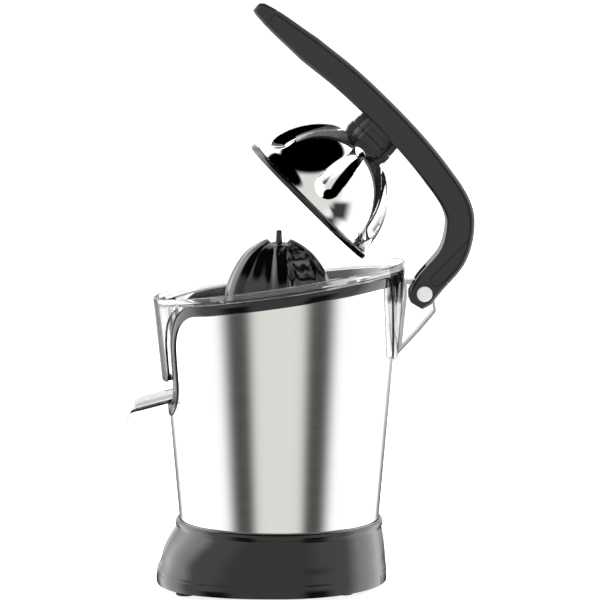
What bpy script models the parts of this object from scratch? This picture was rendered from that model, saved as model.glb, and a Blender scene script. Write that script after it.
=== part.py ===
"""Citrus press juicer with a lever, a clear collector and a sprung drive, modelled as the pieces it is built from.

Sizes are in millimetres and angles in degrees. The mesh helpers turn them into metres.
The origin is on the drive axis at worktop level: +Z is up, the spout looks along -Y, the lever hinge is at +Y.
Places round the drive axis are given by an angle that is 0 at the front and grows towards +X.
"""
import math

import bmesh
import bpy
from mathutils import Matrix, Vector

MM = 0.001
GAP = 0.3                      # left between neighbours that touch

# --- base
FOOT_RADIUS = 6.5
FOOT_HEIGHT = 4.2
FOOT_PLACES = [(37.5, -64.7), (-37.5, -64.7), (34.5, 45.1), (-34.5, 45.1)]
BASE_BOTTOM = 4.5
BASE_WALL = 2.6
BASE_FRONT, BASE_REAR, BASE_SIDE = 86.4, 75.7, 75.0
BASE_FRONT_POWER, BASE_REAR_POWER = 2.5, 2.0
BASE_TOP_RADIUS = 72.0         # where the flared skirt ends under the lip
LIP_BOTTOM, LIP_TOP = 43.0, 48.4
SHELF_TOP = 45.2               # carries the steel housing
SHELF_INNER = 64.5
HUB_RADIUS, HUB_FACE = 24.0, 2.0
PLATE_THICKNESS = 2.5
CORD_NOTCH = (8.0, 6.0)        # width and height
GLAND_RADIUS, GLAND_Y = 5.0, 52.0

# --- steel housing and its edge trim
STEEL_FOOT_RADIUS, STEEL_TAPER = 70.05, 0.0885
STEEL_WALL = 1.0
SURFACE_RADIUS = 80.0          # turns an arc length on the housing into an angle
EDGE_HEIGHT, EDGE_SLOPE = 208.8, 0.1414
NOTCH_BOTTOM, NOTCH_HALF = 127.5, 34.0
NOTCH_CORNER, NOTCH_FLARE = 20.0, 34.0
NOTCH_LEAN = 2.0
FLARE_END = 78.0
TRIM_PROUD, TRIM_DOWN, TRIM_OVER, TRIM_LEG = 1.0, 5.5, 2.0, 4.0
TRIM_INSIDE = 1.5

# --- motor deck, gearbox and drive
DECK_BOTTOM, DECK_THICKNESS = 118.0, 3.0
COLUMN_RADIUS, COLUMN_BORE, COLUMN_TOP = 11.0, 7.0, 176.0
TUB_RADIUS, TUB_BOTTOM, TUB_TOP, TUB_WALL = 58.0, 85.0, 110.0, 3.0
LID_THICKNESS = 2.7
TIE_RADIUS, TIE_CIRCLE = 2.5, 61.2
SHAFT_RADIUS, SHAFT_BOTTOM, SHAFT_TOP = 4.0, 70.0, 214.0
RUNNING = 0.06                 # radial clearance of a running fit
MODULE = 1.0
BACKLASH = 0.45
PINION_TEETH, WHEEL_TEETH, IDLER_TEETH, OUTPUT_TEETH = 12, 44, 12, 44
IDLER_ANGLE = 40.0             # from +Y towards +X
WHEEL_Z = (101.0, 108.0)
OUTPUT_Z = (91.5, 99.5)
IDLER_Z = (89.5, 101.5)
MOTOR_RADIUS, MOTOR_BOTTOM, MOTOR_REACH = 20.0, 32.0, 36.0
PAD_RADIUS, PAD_HEIGHT = 8.0, 30.0
SPRING_RADIUS, SPRING_WIRE, SPRING_TURNS, SPRING_LENGTH = 6.0, 1.2, 5, 22.0
SWITCH_SIZE = (20.0, 10.0, 12.0)
PLUNGER_RADIUS, PLUNGER_OUT = 1.6, 3.0

# --- juice bowl
RIM_RADIUS, RIM_HEIGHT, RIM_SLOPE = 88.3, 216.8, 0.1455
RIM_WALL, BOWL_WALL, SHOULDER = 1.5, 2.0, 1.5
APRON_RADIUS, APRON_BOTTOM, APRON_TAPER = 82.0, 146.6, 0.107
APRON_HALF, APRON_CORNER = 30.5, 8.0
SKIRT_BOTTOM, SKIRT_FOOT, SKIRT_TOP = 162.0, 25.0, 42.0
FLOOR_HEIGHT, FLOOR_SLOPE = 153.0, 0.054
CHIMNEY_RADIUS, CHIMNEY_TOP = 16.2, 184.0
FLANGE_GAP = 0.6
BRACKET_HALF = 7.5
PIVOT_Y, PIVOT_Z = 101.0, 207.3
DRAIN = (11.0, -75.0, -64.0)

# --- strainer
STRAINER_FLOOR, STRAINER_FLAT = 188.0, 60.0
STRAINER_WALL, STRAINER_HOLE = 1.6, 12.0
STRAINER_SLOTS, SLOT_WIDTH, SLOT_REACH = 12, 3.0, (28.0, 56.0)
STRAINER_MARGIN, STRAINER_CLEAR, STRAINER_LIP = 1.6, 3.1, 0.9

# --- spout
SPOUT_HALF, SPOUT_WALL = 15.0, 1.8
SPOUT_PIVOT_Y, SPOUT_PIVOT_Z, SPOUT_PIN = -66.0, 140.6, 2.2
EAR_THICKNESS, EAR_HALF = 2.6, 4.6

# --- cones
CONE_BOTTOM, CONE_RADIUS, CONE_TIP, CONE_EAR = 192.0, 42.0, 244.3, 9.0
CONE_RIBS, RIB_DEPTH, CONE_WALL = 6, 3.0, 2.2
PIN_TOP, PIN_RADIUS = 250.7, 2.0

# --- lever and its hinge
LEVER_HALF = 17.5
LEVER_SPINE = [(-15.0, 405.8), (21.2, 376.3), (46.8, 355.8), (72.0, 332.1), (93.2, 309.8), (109.7, 289.5),
               (122.9, 269.7), (125.9, 253.8), (120.6, 233.2), (104.3, 213.4), (95.4, 199.1)]
LEVER_DEPTH = [(0.0, 4.7), (0.05, 7.6), (0.1, 9.5), (0.9, 9.8), (0.955, 8.6), (1.0, 4.8)]
LEVER_WALL = 3.0
COVER_THICKNESS = 3.0
TIP_END, COVER_END, CAVITY_END = 0.035, 0.86, 0.80
PIN_SHAFT_RADIUS, CAP_RADIUS, CAP_HEIGHT = 3.0, 5.35, 1.3
FORK_CLEARANCE, FORK_RADIUS = 1.0, 19.0

# --- press dome and neck
DOME_Y, DOME_Z, DOME_TILT = 20.7, 270.7, -45.0
DOME_RADIUS, DOME_RISE, DOME_WALL = 51.9, 5.6, 1.2
DOME_MOUTH = 53.6
FLUTES, FLUTE_DEPTH = 6, 2.2
RING_RADIUS, RING_HALF = 55.15, 2.0
NECK_START, NECK_SEAM, NECK_END, NECK_ACROSS = 57.4, 62.0, 69.0, 18.0
BOSS_RADIUS = 9.0

ROUND_STEPS = 28
QUARTER_TURN = math.pi / 2        # a rib and a flute stand square to the side


def fresh_collection(name):
    """Return a collection of this name, linked to the scene."""
    collection = bpy.data.collections.get(name) or bpy.data.collections.new(name)
    if name not in bpy.context.scene.collection.children:
        bpy.context.scene.collection.children.link(collection)
    return collection


for old in list(bpy.data.objects):
    bpy.data.objects.remove(old)
PARTS = fresh_collection("citrus_press_juicer")
CUTTERS = fresh_collection("cutters")


def finish(name, colour, roughness, metallic=0.0, alpha=1.0):
    """A plain Principled material."""
    material = bpy.data.materials.new(name)
    material.use_nodes = True
    shader = material.node_tree.nodes["Principled BSDF"]
    shader.inputs["Base Color"].default_value = (*colour, 1.0)
    shader.inputs["Roughness"].default_value = roughness
    shader.inputs["Metallic"].default_value = metallic
    shader.inputs["Alpha"].default_value = alpha
    return material


GLOSS_BLACK = finish("gloss_black", (0.012, 0.012, 0.012), 0.12)
SATIN_BLACK = finish("satin_black", (0.04, 0.04, 0.042), 0.38)
BRUSHED = finish("brushed_steel", (0.62, 0.62, 0.61), 0.25, 1.0)
CHROME = finish("chrome", (0.78, 0.78, 0.78), 0.06, 1.0)
CLEAR = finish("clear_plastic", (0.85, 0.87, 0.87), 0.05, 0.0, 0.35)
RUBBER = finish("rubber", (0.02, 0.02, 0.02), 0.8)
BRONZE = finish("bronze", (0.55, 0.37, 0.16), 0.35, 1.0)
NYLON = finish("white_nylon", (0.8, 0.79, 0.74), 0.45)
ZINC = finish("zinc_plate", (0.55, 0.56, 0.58), 0.35, 1.0)
GREY = finish("grey_plastic", (0.35, 0.36, 0.37), 0.4)


# --------------------------------------------------------------------------- helpers
def put(obj, material, collection=PARTS):
    """Link an object, give it its material and shade its round faces smooth."""
    collection.objects.link(obj)
    if obj.type == "MESH":
        if not obj.data.materials:
            obj.data.materials.append(material)
        obj.data.shade_smooth()
        obj.data.set_sharp_from_angle(angle=math.radians(35))
    return obj


def from_bmesh(name, shape, material):
    """Make an object of a closed bmesh, with its faces pointing out."""
    bmesh.ops.recalc_face_normals(shape, faces=shape.faces)
    mesh = bpy.data.meshes.new(name)
    shape.to_mesh(mesh)
    shape.free()
    return put(bpy.data.objects.new(name, mesh), material)


def loft(name, sections, material, around=False):
    """Skin closed sections of equal length, capped at both ends or joined round into a ring."""
    shape = bmesh.new()
    rows = [[shape.verts.new(Vector(point) * MM) for point in section] for section in sections]
    count = len(sections[0])
    pairs = list(zip(rows, rows[1:])) + ([(rows[-1], rows[0])] if around else [])
    for near, far in pairs:
        for i in range(count):
            j = (i + 1) % count
            shape.faces.new((near[i], near[j], far[j], far[i]))
    if not around:
        shape.faces.new(rows[0])
        shape.faces.new(list(reversed(rows[-1])))
    return from_bmesh(name, shape, material)


def turned(name, profile, material, closed=False, place=(0, 0, 0), tilt=0.0, turn_y=0.0, steps=ROUND_STEPS):
    """Turn (radius, height) points round Z; they run down the outer side and, when closed, back up the bore."""
    mesh = bpy.data.meshes.new(name)
    edges = [(i, i + 1) for i in range(len(profile) - 1)] + ([(len(profile) - 1, 0)] if closed else [])
    mesh.from_pydata([(r * MM, 0, z * MM) for r, z in profile], edges, [])
    obj = put(bpy.data.objects.new(name, mesh), material)
    screw = obj.modifiers.new("turn", "SCREW")
    screw.axis = "Z"
    screw.steps = screw.render_steps = steps
    screw.use_merge_vertices = True
    screw.merge_threshold = 0.00001
    screw.use_smooth_shade = True
    obj.location = Vector(place) * MM
    obj.rotation_euler = (math.radians(tilt), math.radians(turn_y), 0)
    return obj


def tube(name, radius, bore, low, high, material, place=(0, 0), steps=ROUND_STEPS):
    """A plain upright sleeve."""
    profile = [(radius, high), (radius, low), (bore, low), (bore, high)]
    return turned(name, profile, material, True, (*place, 0), steps=steps)


def rod(name, radius, low, high, material, place=(0, 0), steps=ROUND_STEPS):
    """A plain upright rod."""
    profile = [(0, high), (radius, high), (radius, low), (0, low)]
    return turned(name, profile, material, False, (*place, 0), steps=steps)


def block(name, low, high, material, bevel=0.0):
    """A box between two corners."""
    shape = bmesh.new()
    bmesh.ops.create_cube(shape, size=1.0)
    centre = (Vector(low) + Vector(high)) / 2 * MM
    size = (Vector(high) - Vector(low)) * MM
    bmesh.ops.transform(shape, matrix=Matrix.Translation(centre) @ Matrix.Diagonal((*size, 1)), verts=shape.verts)
    obj = from_bmesh(name, shape, material)
    if bevel:
        edge = obj.modifiers.new("edge", "BEVEL")
        edge.width = bevel * MM
        edge.segments = 2
    return obj


def plate(name, outlines, thickness, material, matrix=None):
    """Extrude flat outlines, the later ones being holes, both ways from the plane they lie in."""
    curve = bpy.data.curves.new(name, "CURVE")
    curve.dimensions = "2D"
    curve.fill_mode = "BOTH"
    curve.extrude = thickness / 2 * MM
    for outline in outlines:
        spline = curve.splines.new("POLY")
        spline.points.add(len(outline) - 1)
        for point, (x, y) in zip(spline.points, outline):
            point.co = (x * MM, y * MM, 0, 1)
        spline.use_cyclic_u = True
    flat = bpy.data.objects.new(name + "_outline", curve)
    bpy.context.scene.collection.objects.link(flat)
    mesh = bpy.data.meshes.new_from_object(flat.evaluated_get(bpy.context.evaluated_depsgraph_get()))
    bpy.data.objects.remove(flat)
    shape = bmesh.new()
    shape.from_mesh(mesh)
    bmesh.ops.remove_doubles(shape, verts=shape.verts, dist=0.000001)
    if matrix:
        bmesh.ops.transform(shape, matrix=matrix, verts=shape.verts)
    bpy.data.meshes.remove(mesh)
    return from_bmesh(name, shape, material)


def level(z):
    """The matrix that lifts a flat outline to a height."""
    return Matrix.Translation((0, 0, z * MM))


SIDE_VIEW = Matrix(((0, 0, 1, 0), (1, 0, 0, 0), (0, 1, 0, 0), (0, 0, 0, 1)))   # an outline's (x, y) become (Y, Z)


def boolean(obj, other, operation):
    """Cut or join with a helper object, which is kept out of the model."""
    PARTS.objects.unlink(other)
    CUTTERS.objects.link(other)
    other.hide_render = True
    other.display_type = "WIRE"
    step = obj.modifiers.new(operation.lower(), "BOOLEAN")
    step.operation = operation
    step.solver = "EXACT"
    step.object = other
    return obj


def cut(obj, *others):
    """Take helper objects away from an object."""
    for other in others:
        boolean(obj, other, "DIFFERENCE")
    return obj


def join(obj, *others):
    """Add helper objects to an object as one body."""
    for other in others:
        boolean(obj, other, "UNION")
    return obj


def circle(radius, centre=(0, 0), count=24):
    """Points round a circle."""
    turns = [2 * math.pi * i / count for i in range(count)]
    return [(centre[0] + radius * math.cos(a), centre[1] + radius * math.sin(a)) for a in turns]


def polar(radius, angle, z):
    """A point from its radius, its angle from the front in radians and its height."""
    return (radius * math.sin(angle), -radius * math.cos(angle), z)


def mix(a, b, share):
    """Blend two numbers."""
    return a + (b - a) * share


def table(pairs, x):
    """Read a value between the points of a short list."""
    for (x0, y0), (x1, y1) in zip(pairs, pairs[1:]):
        if x <= x1:
            return mix(y0, y1, (x - x0) / (x1 - x0))
    return pairs[-1][1]


def rounded(corners, step=9.0):
    """A path through (x, y, radius) corners, with each corner rounded by an arc."""
    path = [Vector(corners[0][:2])]
    for before, here, after in zip(corners, corners[1:], corners[2:]):
        at = Vector(here[:2])
        to_last = (Vector(before[:2]) - at).normalized()
        to_next = (Vector(after[:2]) - at).normalized()
        half = to_last.angle(to_next) / 2
        reach = here[2] / math.tan(half)
        centre = at + (to_last + to_next).normalized() * here[2] / math.sin(half)
        start = at + to_last * reach - centre
        sweep = math.pi - 2 * half
        side = 1 if start.x * to_next.y - start.y * to_next.x > 0 else -1
        count = max(3, round(sweep * here[2] / step * 2))
        for i in range(count + 1):
            turn = side * sweep * i / count
            offset = Vector((start.x * math.cos(turn) - start.y * math.sin(turn),
                             start.x * math.sin(turn) + start.y * math.cos(turn)))
            path.append(centre + offset)
    path.append(Vector(corners[-1][:2]))
    return path


def spread(path, step):
    """Add points along the long straight stretches of a path."""
    out = [path[0]]
    for a, b in zip(path, path[1:]):
        count = max(1, math.ceil((b - a).length / step))
        out += [a.lerp(b, (i + 1) / count) for i in range(count)]
    return out


def mirrored(path):
    """Carry a half path, given as (arc length, height), round the whole housing."""
    left = [Vector((-p.x, p.y)) for p in reversed(path[1:-1])]
    return left + path


# --------------------------------------------------------------------------- the shared surfaces
def steel_radius(z):
    """Outer radius of the tapered steel housing."""
    return STEEL_FOOT_RADIUS + (z - LIP_TOP) * STEEL_TAPER


def sloping(height, slope, arc):
    """Height of a tilted plane over a point of the housing's top edge."""
    radius = steel_radius(height)
    return height - slope * radius * math.cos(arc / SURFACE_RADIUS)


HALF_TURN = math.pi * SURFACE_RADIUS


def edge_half(bottom, half, corner, flare, height, slope, tail_step=13.0):
    """Half of a housing edge: across the notch, up its side, out in a flare and back along the tilted top."""
    top = sloping(height, slope, half + NOTCH_LEAN)
    corners = [(0.0, bottom, 0), (half, bottom, corner), (half + NOTCH_LEAN, top, flare),
               (FLARE_END, sloping(height, slope, FLARE_END), 0)]
    path = spread(rounded(corners), 12.0)
    count = math.ceil((HALF_TURN - FLARE_END) / tail_step)
    arcs = [FLARE_END + (HALF_TURN - FLARE_END) * (i + 1) / count for i in range(count)]
    return path + [Vector((arc, sloping(height, slope, arc))) for arc in arcs]


def bowl_radius(z):
    """Outer radius of the bowl's apron, rim and rear skirt."""
    return min(RIM_RADIUS, APRON_RADIUS + (z - APRON_BOTTOM) * APRON_TAPER)


def base_radius(angle, share):
    """Outer radius of the base at an angle; share goes from 0 under the lip to 1 at the lower band."""
    s, c = abs(math.sin(angle)), math.cos(angle)
    reach, power = (BASE_FRONT, BASE_FRONT_POWER) if c > 0 else (BASE_REAR, BASE_REAR_POWER)
    plan = ((s / BASE_SIDE) ** power + (abs(c) / reach) ** power) ** (-1 / power)
    return mix(BASE_TOP_RADIUS, plan, share)


# --------------------------------------------------------------------------- base
BASE_PROFILE = [(BASE_BOTTOM, 0.98), (BASE_BOTTOM + 1.2, 1.0), (13.0, 0.97), (19.5, 0.76), (26.0, 0.66),
                (33.0, 0.44), (40.0, 0.15), (LIP_BOTTOM, 0.02)]


def make_base():
    """The flared gloss skirt with the lip that holds the steel, its bottom plate and four feet."""
    sections = []
    count = 40
    for i in range(count):
        angle = 2 * math.pi * i / count
        outer = [(base_radius(angle, share), z) for z, share in BASE_PROFILE]
        inner = [(base_radius(angle, share) - BASE_WALL, z) for z, share in BASE_PROFILE if z < LIP_BOTTOM]
        seat = steel_radius(SHELF_TOP) + 2 * GAP
        lip = [(BASE_TOP_RADIUS + 0.9, LIP_BOTTOM + 1.4), (BASE_TOP_RADIUS + 0.7, LIP_TOP - 1.2),
               (BASE_TOP_RADIUS - 0.2, LIP_TOP), (seat, LIP_TOP), (seat, SHELF_TOP), (SHELF_INNER, SHELF_TOP),
               (SHELF_INNER, SHELF_TOP - BASE_WALL), (BASE_TOP_RADIUS - BASE_WALL, SHELF_TOP - BASE_WALL)]
        ring = outer + lip + list(reversed(inner))
        sections.append([polar(r, angle, z) for r, z in ring])
    shell = loft("base_shell", sections, GLOSS_BLACK, around=True)
    width, height = CORD_NOTCH
    cut(shell, block("cord_notch", (-width / 2, 60, BASE_BOTTOM - 5), (width / 2, 90, BASE_BOTTOM + height), RUBBER))

    inset = BASE_WALL + 2 * GAP
    outline = [polar(base_radius(2 * math.pi * i / 40, BASE_PROFILE[0][1]) - inset, 2 * math.pi * i / 40, 0)[:2]
               for i in range(40)]
    holes = [circle(TIE_RADIUS + GAP, tie_place(i), 12) for i in range(4)]
    holes.append(circle(GLAND_RADIUS + GAP, (0, GLAND_Y), 16))
    sheet = plate("bottom_plate", [outline] + holes, PLATE_THICKNESS, SATIN_BLACK,
                  level(BASE_BOTTOM + PLATE_THICKNESS / 2))
    join(sheet, rod("cord_hub", HUB_RADIUS, HUB_FACE, BASE_BOTTOM + 1, SATIN_BLACK))
    for i, place in enumerate(FOOT_PLACES):
        rod(f"foot_{i + 1}", FOOT_RADIUS, 0, FOOT_HEIGHT, RUBBER, place, steps=24)
    low, high = BASE_BOTTOM - 0.5, BASE_BOTTOM + 12
    tube("cord_gland", GLAND_RADIUS, 3.2, low, high, RUBBER, (0, GLAND_Y), 16)


def tie_place(i):
    """Where a tie screw stands on plan."""
    angle = math.radians(45 + 90 * i)
    return (TIE_CIRCLE * math.cos(angle), TIE_CIRCLE * math.sin(angle))


# --------------------------------------------------------------------------- housing
def make_housing():
    """The tapered steel skin with its front notch, and the black channel that covers its cut edge."""
    half = edge_half(NOTCH_BOTTOM, NOTCH_HALF, NOTCH_CORNER, NOTCH_FLARE, EDGE_HEIGHT, EDGE_SLOPE)
    path = mirrored(half)
    foot = SHELF_TOP + GAP
    sections = []
    for arc, top in path:
        angle = arc / SURFACE_RADIUS
        ring = [(steel_radius(foot), foot), (steel_radius(top), top),
                (steel_radius(top) - STEEL_WALL, top), (steel_radius(foot) - STEEL_WALL, foot)]
        sections.append([polar(r, angle, z) for r, z in ring])
    loft("steel_housing", sections, BRUSHED, around=True)

    inside = -STEEL_WALL - GAP
    section = [(-TRIM_OVER, TRIM_PROUD), (TRIM_DOWN, TRIM_PROUD), (TRIM_DOWN, GAP), (-GAP, GAP), (-GAP, inside),
               (TRIM_LEG, inside), (TRIM_LEG, inside - TRIM_INSIDE), (-TRIM_OVER, inside - TRIM_INSIDE)]
    rings = []
    count = len(path)
    for i, at in enumerate(path):
        before, after = path[i - 1].copy(), path[(i + 1) % count].copy()
        if i == 0:
            before.x -= 2 * HALF_TURN
        if i == count - 1:
            after.x += 2 * HALF_TURN
        along = (after - before).normalized()
        down = Vector((along.y, -along.x))
        ring = []
        for away, proud in section:
            arc, z = at + down * away
            ring.append(polar(steel_radius(z) + proud, arc / SURFACE_RADIUS, z))
        rings.append(ring)
    loft("edge_trim", rings, GLOSS_BLACK, around=True)


# --------------------------------------------------------------------------- motor deck, gearbox and drive
def train_places():
    """Plan places of the idler and the motor, from the gears' pitch radii."""
    reach = MODULE * (IDLER_TEETH + OUTPUT_TEETH) / 2
    angle = math.radians(IDLER_ANGLE)
    idler = Vector((reach * math.sin(angle), reach * math.cos(angle)))
    span = MODULE * (PINION_TEETH + WHEEL_TEETH) / 2
    lean = math.acos((reach ** 2 + span ** 2 - MOTOR_REACH ** 2) / (2 * reach * span))
    toward = math.atan2(-idler.y, -idler.x) - lean
    motor = idler + span * Vector((math.cos(toward), math.sin(toward)))
    return idler, motor


IDLER_PLACE, MOTOR_PLACE = train_places()


def gear_outline(teeth, centre, point_angle):
    """A spur gear's outline with one tooth on a given direction."""
    pitch = MODULE * teeth / 2
    thick = math.pi * MODULE / 2 - BACKLASH
    levels = [(pitch - 1.1 * MODULE, thick * 1.6), (pitch + 0.8 * MODULE, thick * 0.5)]
    one = [(r, -w / 2 / r) for r, w in levels] + [(r, w / 2 / r) for r, w in reversed(levels)]
    outline = []
    for i in range(teeth):
        middle = point_angle + 2 * math.pi * i / teeth
        outline += [(centre[0] + r * math.cos(middle + a), centre[1] + r * math.sin(middle + a)) for r, a in one]
    return outline


def bearing(start, end):
    """Direction on plan from one point to another."""
    return math.atan2(end[1] - start[1], end[0] - start[0])


def gear(name, outline, low, high, material, bore=0.0, centre=(0, 0)):
    """A gear between two heights, with a bore where it has one."""
    holes = [circle(bore, centre, 20)] if bore else []
    return plate(name, [outline] + holes, high - low, material, level((low + high) / 2))


def make_gears():
    """The output gear on the drive shaft, the compound idler and the motor's pinion, in mesh."""
    out_to_idler = bearing((0, 0), IDLER_PLACE)
    output = gear_outline(OUTPUT_TEETH, (0, 0), out_to_idler)
    gear("output_gear", output, *OUTPUT_Z, NYLON, SHAFT_RADIUS + RUNNING)
    small = gear_outline(IDLER_TEETH, IDLER_PLACE, out_to_idler + math.pi + math.pi / IDLER_TEETH)
    to_motor = bearing(IDLER_PLACE, MOTOR_PLACE)
    wheel = gear_outline(WHEEL_TEETH, IDLER_PLACE, to_motor)
    bore = 2.0 + RUNNING
    idler = gear("idler_gear", wheel, *WHEEL_Z, NYLON, bore, IDLER_PLACE)
    join(idler, gear("idler_pinion", small, IDLER_Z[0], WHEEL_Z[0] + 0.5, NYLON, bore, IDLER_PLACE))
    rod("idler_pin", 2.0, TUB_BOTTOM + TUB_WALL + GAP, TUB_TOP, ZINC, IDLER_PLACE, 20)

    pinion = gear_outline(PINION_TEETH, MOTOR_PLACE, to_motor + math.pi + math.pi / PINION_TEETH)
    profile = [(0, 109), (1.6, 109), (1.6, 80), (12, 80), (12, 50), (1.6, 50), (1.6, 20), (0, 20)]
    rotor = turned("motor_rotor", profile, ZINC, False, (*MOTOR_PLACE, 0), steps=24)
    join(rotor, gear("motor_pinion", pinion, *WHEEL_Z, ZINC))


def make_motor():
    """The motor's can with its bearing holes, and the cooling fan under it."""
    top = TUB_BOTTOM - GAP
    profile = [(MOTOR_RADIUS, top), (MOTOR_RADIUS, MOTOR_BOTTOM), (2.2, MOTOR_BOTTOM), (2.2, MOTOR_BOTTOM + 2.5),
               (MOTOR_RADIUS - 2.5, MOTOR_BOTTOM + 2.5), (MOTOR_RADIUS - 2.5, top - 2.5), (2.2, top - 2.5),
               (2.2, top)]
    turned("motor_can", profile, ZINC, True, (*MOTOR_PLACE, 0), steps=32)
    fan = tube("cooling_fan", 5, 1.6 + RUNNING, 21, 28, GREY, MOTOR_PLACE, 20)
    for i in range(6):
        angle = math.radians(60 * i)
        blade = block(f"fan_blade_{i}", (3, -0.8, 21.5), (17, 0.8, 27.5), GREY)
        blade.location = Vector((*MOTOR_PLACE, 0)) * MM
        blade.rotation_euler = (0, 0, angle)
        join(fan, blade)


def make_deck():
    """The deck that closes the motor room, with the column that carries the shaft, and the gearbox case."""
    outer = steel_radius(DECK_BOTTOM) - STEEL_WALL - 2 * GAP
    bottom, top = DECK_BOTTOM, DECK_BOTTOM + DECK_THICKNESS
    profile = [(COLUMN_RADIUS, COLUMN_TOP), (COLUMN_RADIUS, top), (outer, top), (outer, bottom),
               (COLUMN_BORE, bottom), (COLUMN_BORE, COLUMN_TOP)]
    deck = turned("motor_deck", profile, SATIN_BLACK, True)
    lid_top = TUB_TOP + GAP + LID_THICKNESS
    for i in range(3):
        place = (44 * math.cos(2.1 * i + 0.3), 44 * math.sin(2.1 * i + 0.3))
        join(deck, rod(f"deck_boss_{i}", 4, lid_top + GAP, bottom + 1, SATIN_BLACK, place, 16))

    bush = SHAFT_RADIUS + 2.4
    inner = TUB_RADIUS - TUB_WALL
    floor = TUB_BOTTOM + TUB_WALL
    profile = [(TUB_RADIUS, TUB_TOP), (TUB_RADIUS, TUB_BOTTOM), (bush, TUB_BOTTOM), (bush, floor), (inner, floor),
               (inner, TUB_TOP)]
    tub = turned("gearbox_tub", profile, SATIN_BLACK, True)
    cut(tub, rod("pinion_hole", 9, TUB_BOTTOM - 2, floor + 2, SATIN_BLACK, MOTOR_PLACE, 20))
    lid = tube("gearbox_lid", TUB_RADIUS, bush, TUB_TOP + GAP, lid_top, SATIN_BLACK)
    cut(lid, rod("pinion_lid_hole", 3, TUB_TOP - 2, lid_top + 2, SATIN_BLACK, MOTOR_PLACE, 16))
    for i in range(4):
        rod(f"tie_screw_{i + 1}", TIE_RADIUS, BASE_BOTTOM + GAP, bottom - GAP, ZINC, tie_place(i), 12)


def make_spindle():
    """The drive shaft with its bushes and seal, the pad under it, its return spring and the switch it presses."""
    rod("drive_shaft", SHAFT_RADIUS, SHAFT_BOTTOM, SHAFT_TOP, ZINC)
    bore, sleeve = SHAFT_RADIUS + RUNNING, SHAFT_RADIUS + 2.1
    tube("lower_bush", sleeve, bore, TUB_BOTTOM + 0.2, TUB_BOTTOM + TUB_WALL, BRONZE)
    tube("upper_bush", COLUMN_BORE - GAP, bore, COLUMN_TOP - 16, COLUMN_TOP - 4, BRONZE)
    tube("shaft_seal", COLUMN_BORE - GAP, bore + 0.1, COLUMN_TOP - 3.7, COLUMN_TOP, RUBBER)
    pad_top = SHAFT_BOTTOM - GAP
    pad_low = pad_top - PAD_HEIGHT
    profile = [(0, pad_top), (PAD_RADIUS, pad_top), (PAD_RADIUS, pad_top - 2.5), (3.5, pad_top - 2.5),
               (3.5, pad_low), (0, pad_low)]
    turned("thrust_pad", profile, GREY, steps=28)

    spring_top = pad_top - 2.5 - GAP
    spring_low = spring_top - SPRING_LENGTH
    sweep = 10 * SPRING_TURNS
    radius = SPRING_WIRE / 2
    coil = bpy.data.curves.new("return_spring", "CURVE")
    coil.dimensions = "3D"
    coil.bevel_depth = radius * MM
    coil.bevel_resolution = 0
    coil.use_fill_caps = True
    wire = coil.splines.new("POLY")
    wire.points.add(sweep)
    for i, point in enumerate(wire.points):
        angle = 2 * math.pi * i / 10
        z = mix(spring_low + radius, spring_top - radius, i / sweep)
        point.co = (SPRING_RADIUS * math.cos(angle) * MM, SPRING_RADIUS * math.sin(angle) * MM, z * MM, 1)
    coil.materials.append(ZINC)
    PARTS.objects.link(bpy.data.objects.new("return_spring", coil))

    plunger_low = pad_low - 0.4 - PLUNGER_OUT
    rod("switch_plunger", PLUNGER_RADIUS, plunger_low - 4, pad_low - 0.4, RUBBER, steps=16)
    long, wide, tall = SWITCH_SIZE
    low, high = plunger_low - tall, plunger_low
    body = block("switch_body", (-long / 2, -wide / 2, low), (long / 2, wide / 2, high), GREY)
    cut(body, rod("plunger_hole", PLUNGER_RADIUS + RUNNING * 2, high - 7, high + 5, GREY, steps=16))
    make_switch_holder(low - GAP, spring_low - GAP)


def make_switch_holder(floor, top):
    """The cup on the bottom plate that holds the switch and gives the return spring its seat."""
    outer, inner, seat = 15.0, 12.5, 4.5
    low = BASE_BOTTOM + PLATE_THICKNESS + GAP
    profile = [(0, floor), (inner, floor), (inner, top - 3), (seat, top - 3), (seat, top), (outer, top),
               (outer, low), (inner, low), (inner, floor - 2), (0, floor - 2)]
    holder = turned("switch_holder", profile, GREY)
    half = SWITCH_SIZE[1] / 2 + GAP
    cut(holder, block("holder_window", (-outer - 2, -half, floor + 0.2), (outer + 2, half, top - 3.4), GREY))


# --------------------------------------------------------------------------- juice bowl
def flange(arc):
    """Underside of the bowl's flange, just above the trim."""
    return sloping(EDGE_HEIGHT + TRIM_OVER + FLANGE_GAP, EDGE_SLOPE, arc)


def skirt_path():
    """Lower edge of the bowl's outer wall: the front apron, the flange and the rear skirt."""
    half, lean = APRON_HALF, NOTCH_LEAN + 0.5
    front = [(0.0, APRON_BOTTOM, 0), (half, APRON_BOTTOM, APRON_CORNER),
             (half + lean, flange(half + lean), NOTCH_FLARE + 3), (FLARE_END, flange(FLARE_END), 0)]
    path = spread(rounded(front), 12.0)
    end = HALF_TURN - SKIRT_TOP - 6
    count = math.ceil((end - FLARE_END) / 13.0)
    for i in range(1, count):
        arc = mix(FLARE_END, end, i / count)
        path.append(Vector((arc, flange(arc))))
    rear = [(end, flange(end), 0), (HALF_TURN - SKIRT_TOP, flange(HALF_TURN - SKIRT_TOP), 3),
            (HALF_TURN - SKIRT_FOOT, SKIRT_BOTTOM, 6), (HALF_TURN, SKIRT_BOTTOM, 0)]
    return path + spread(rounded(rear), 12.0)


def smooth(low, high, x):
    """Rise from 0 to 1 between two values."""
    share = min(1.0, max(0.0, (x - low) / (high - low)))
    return share * share * (3 - 2 * share)


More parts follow.
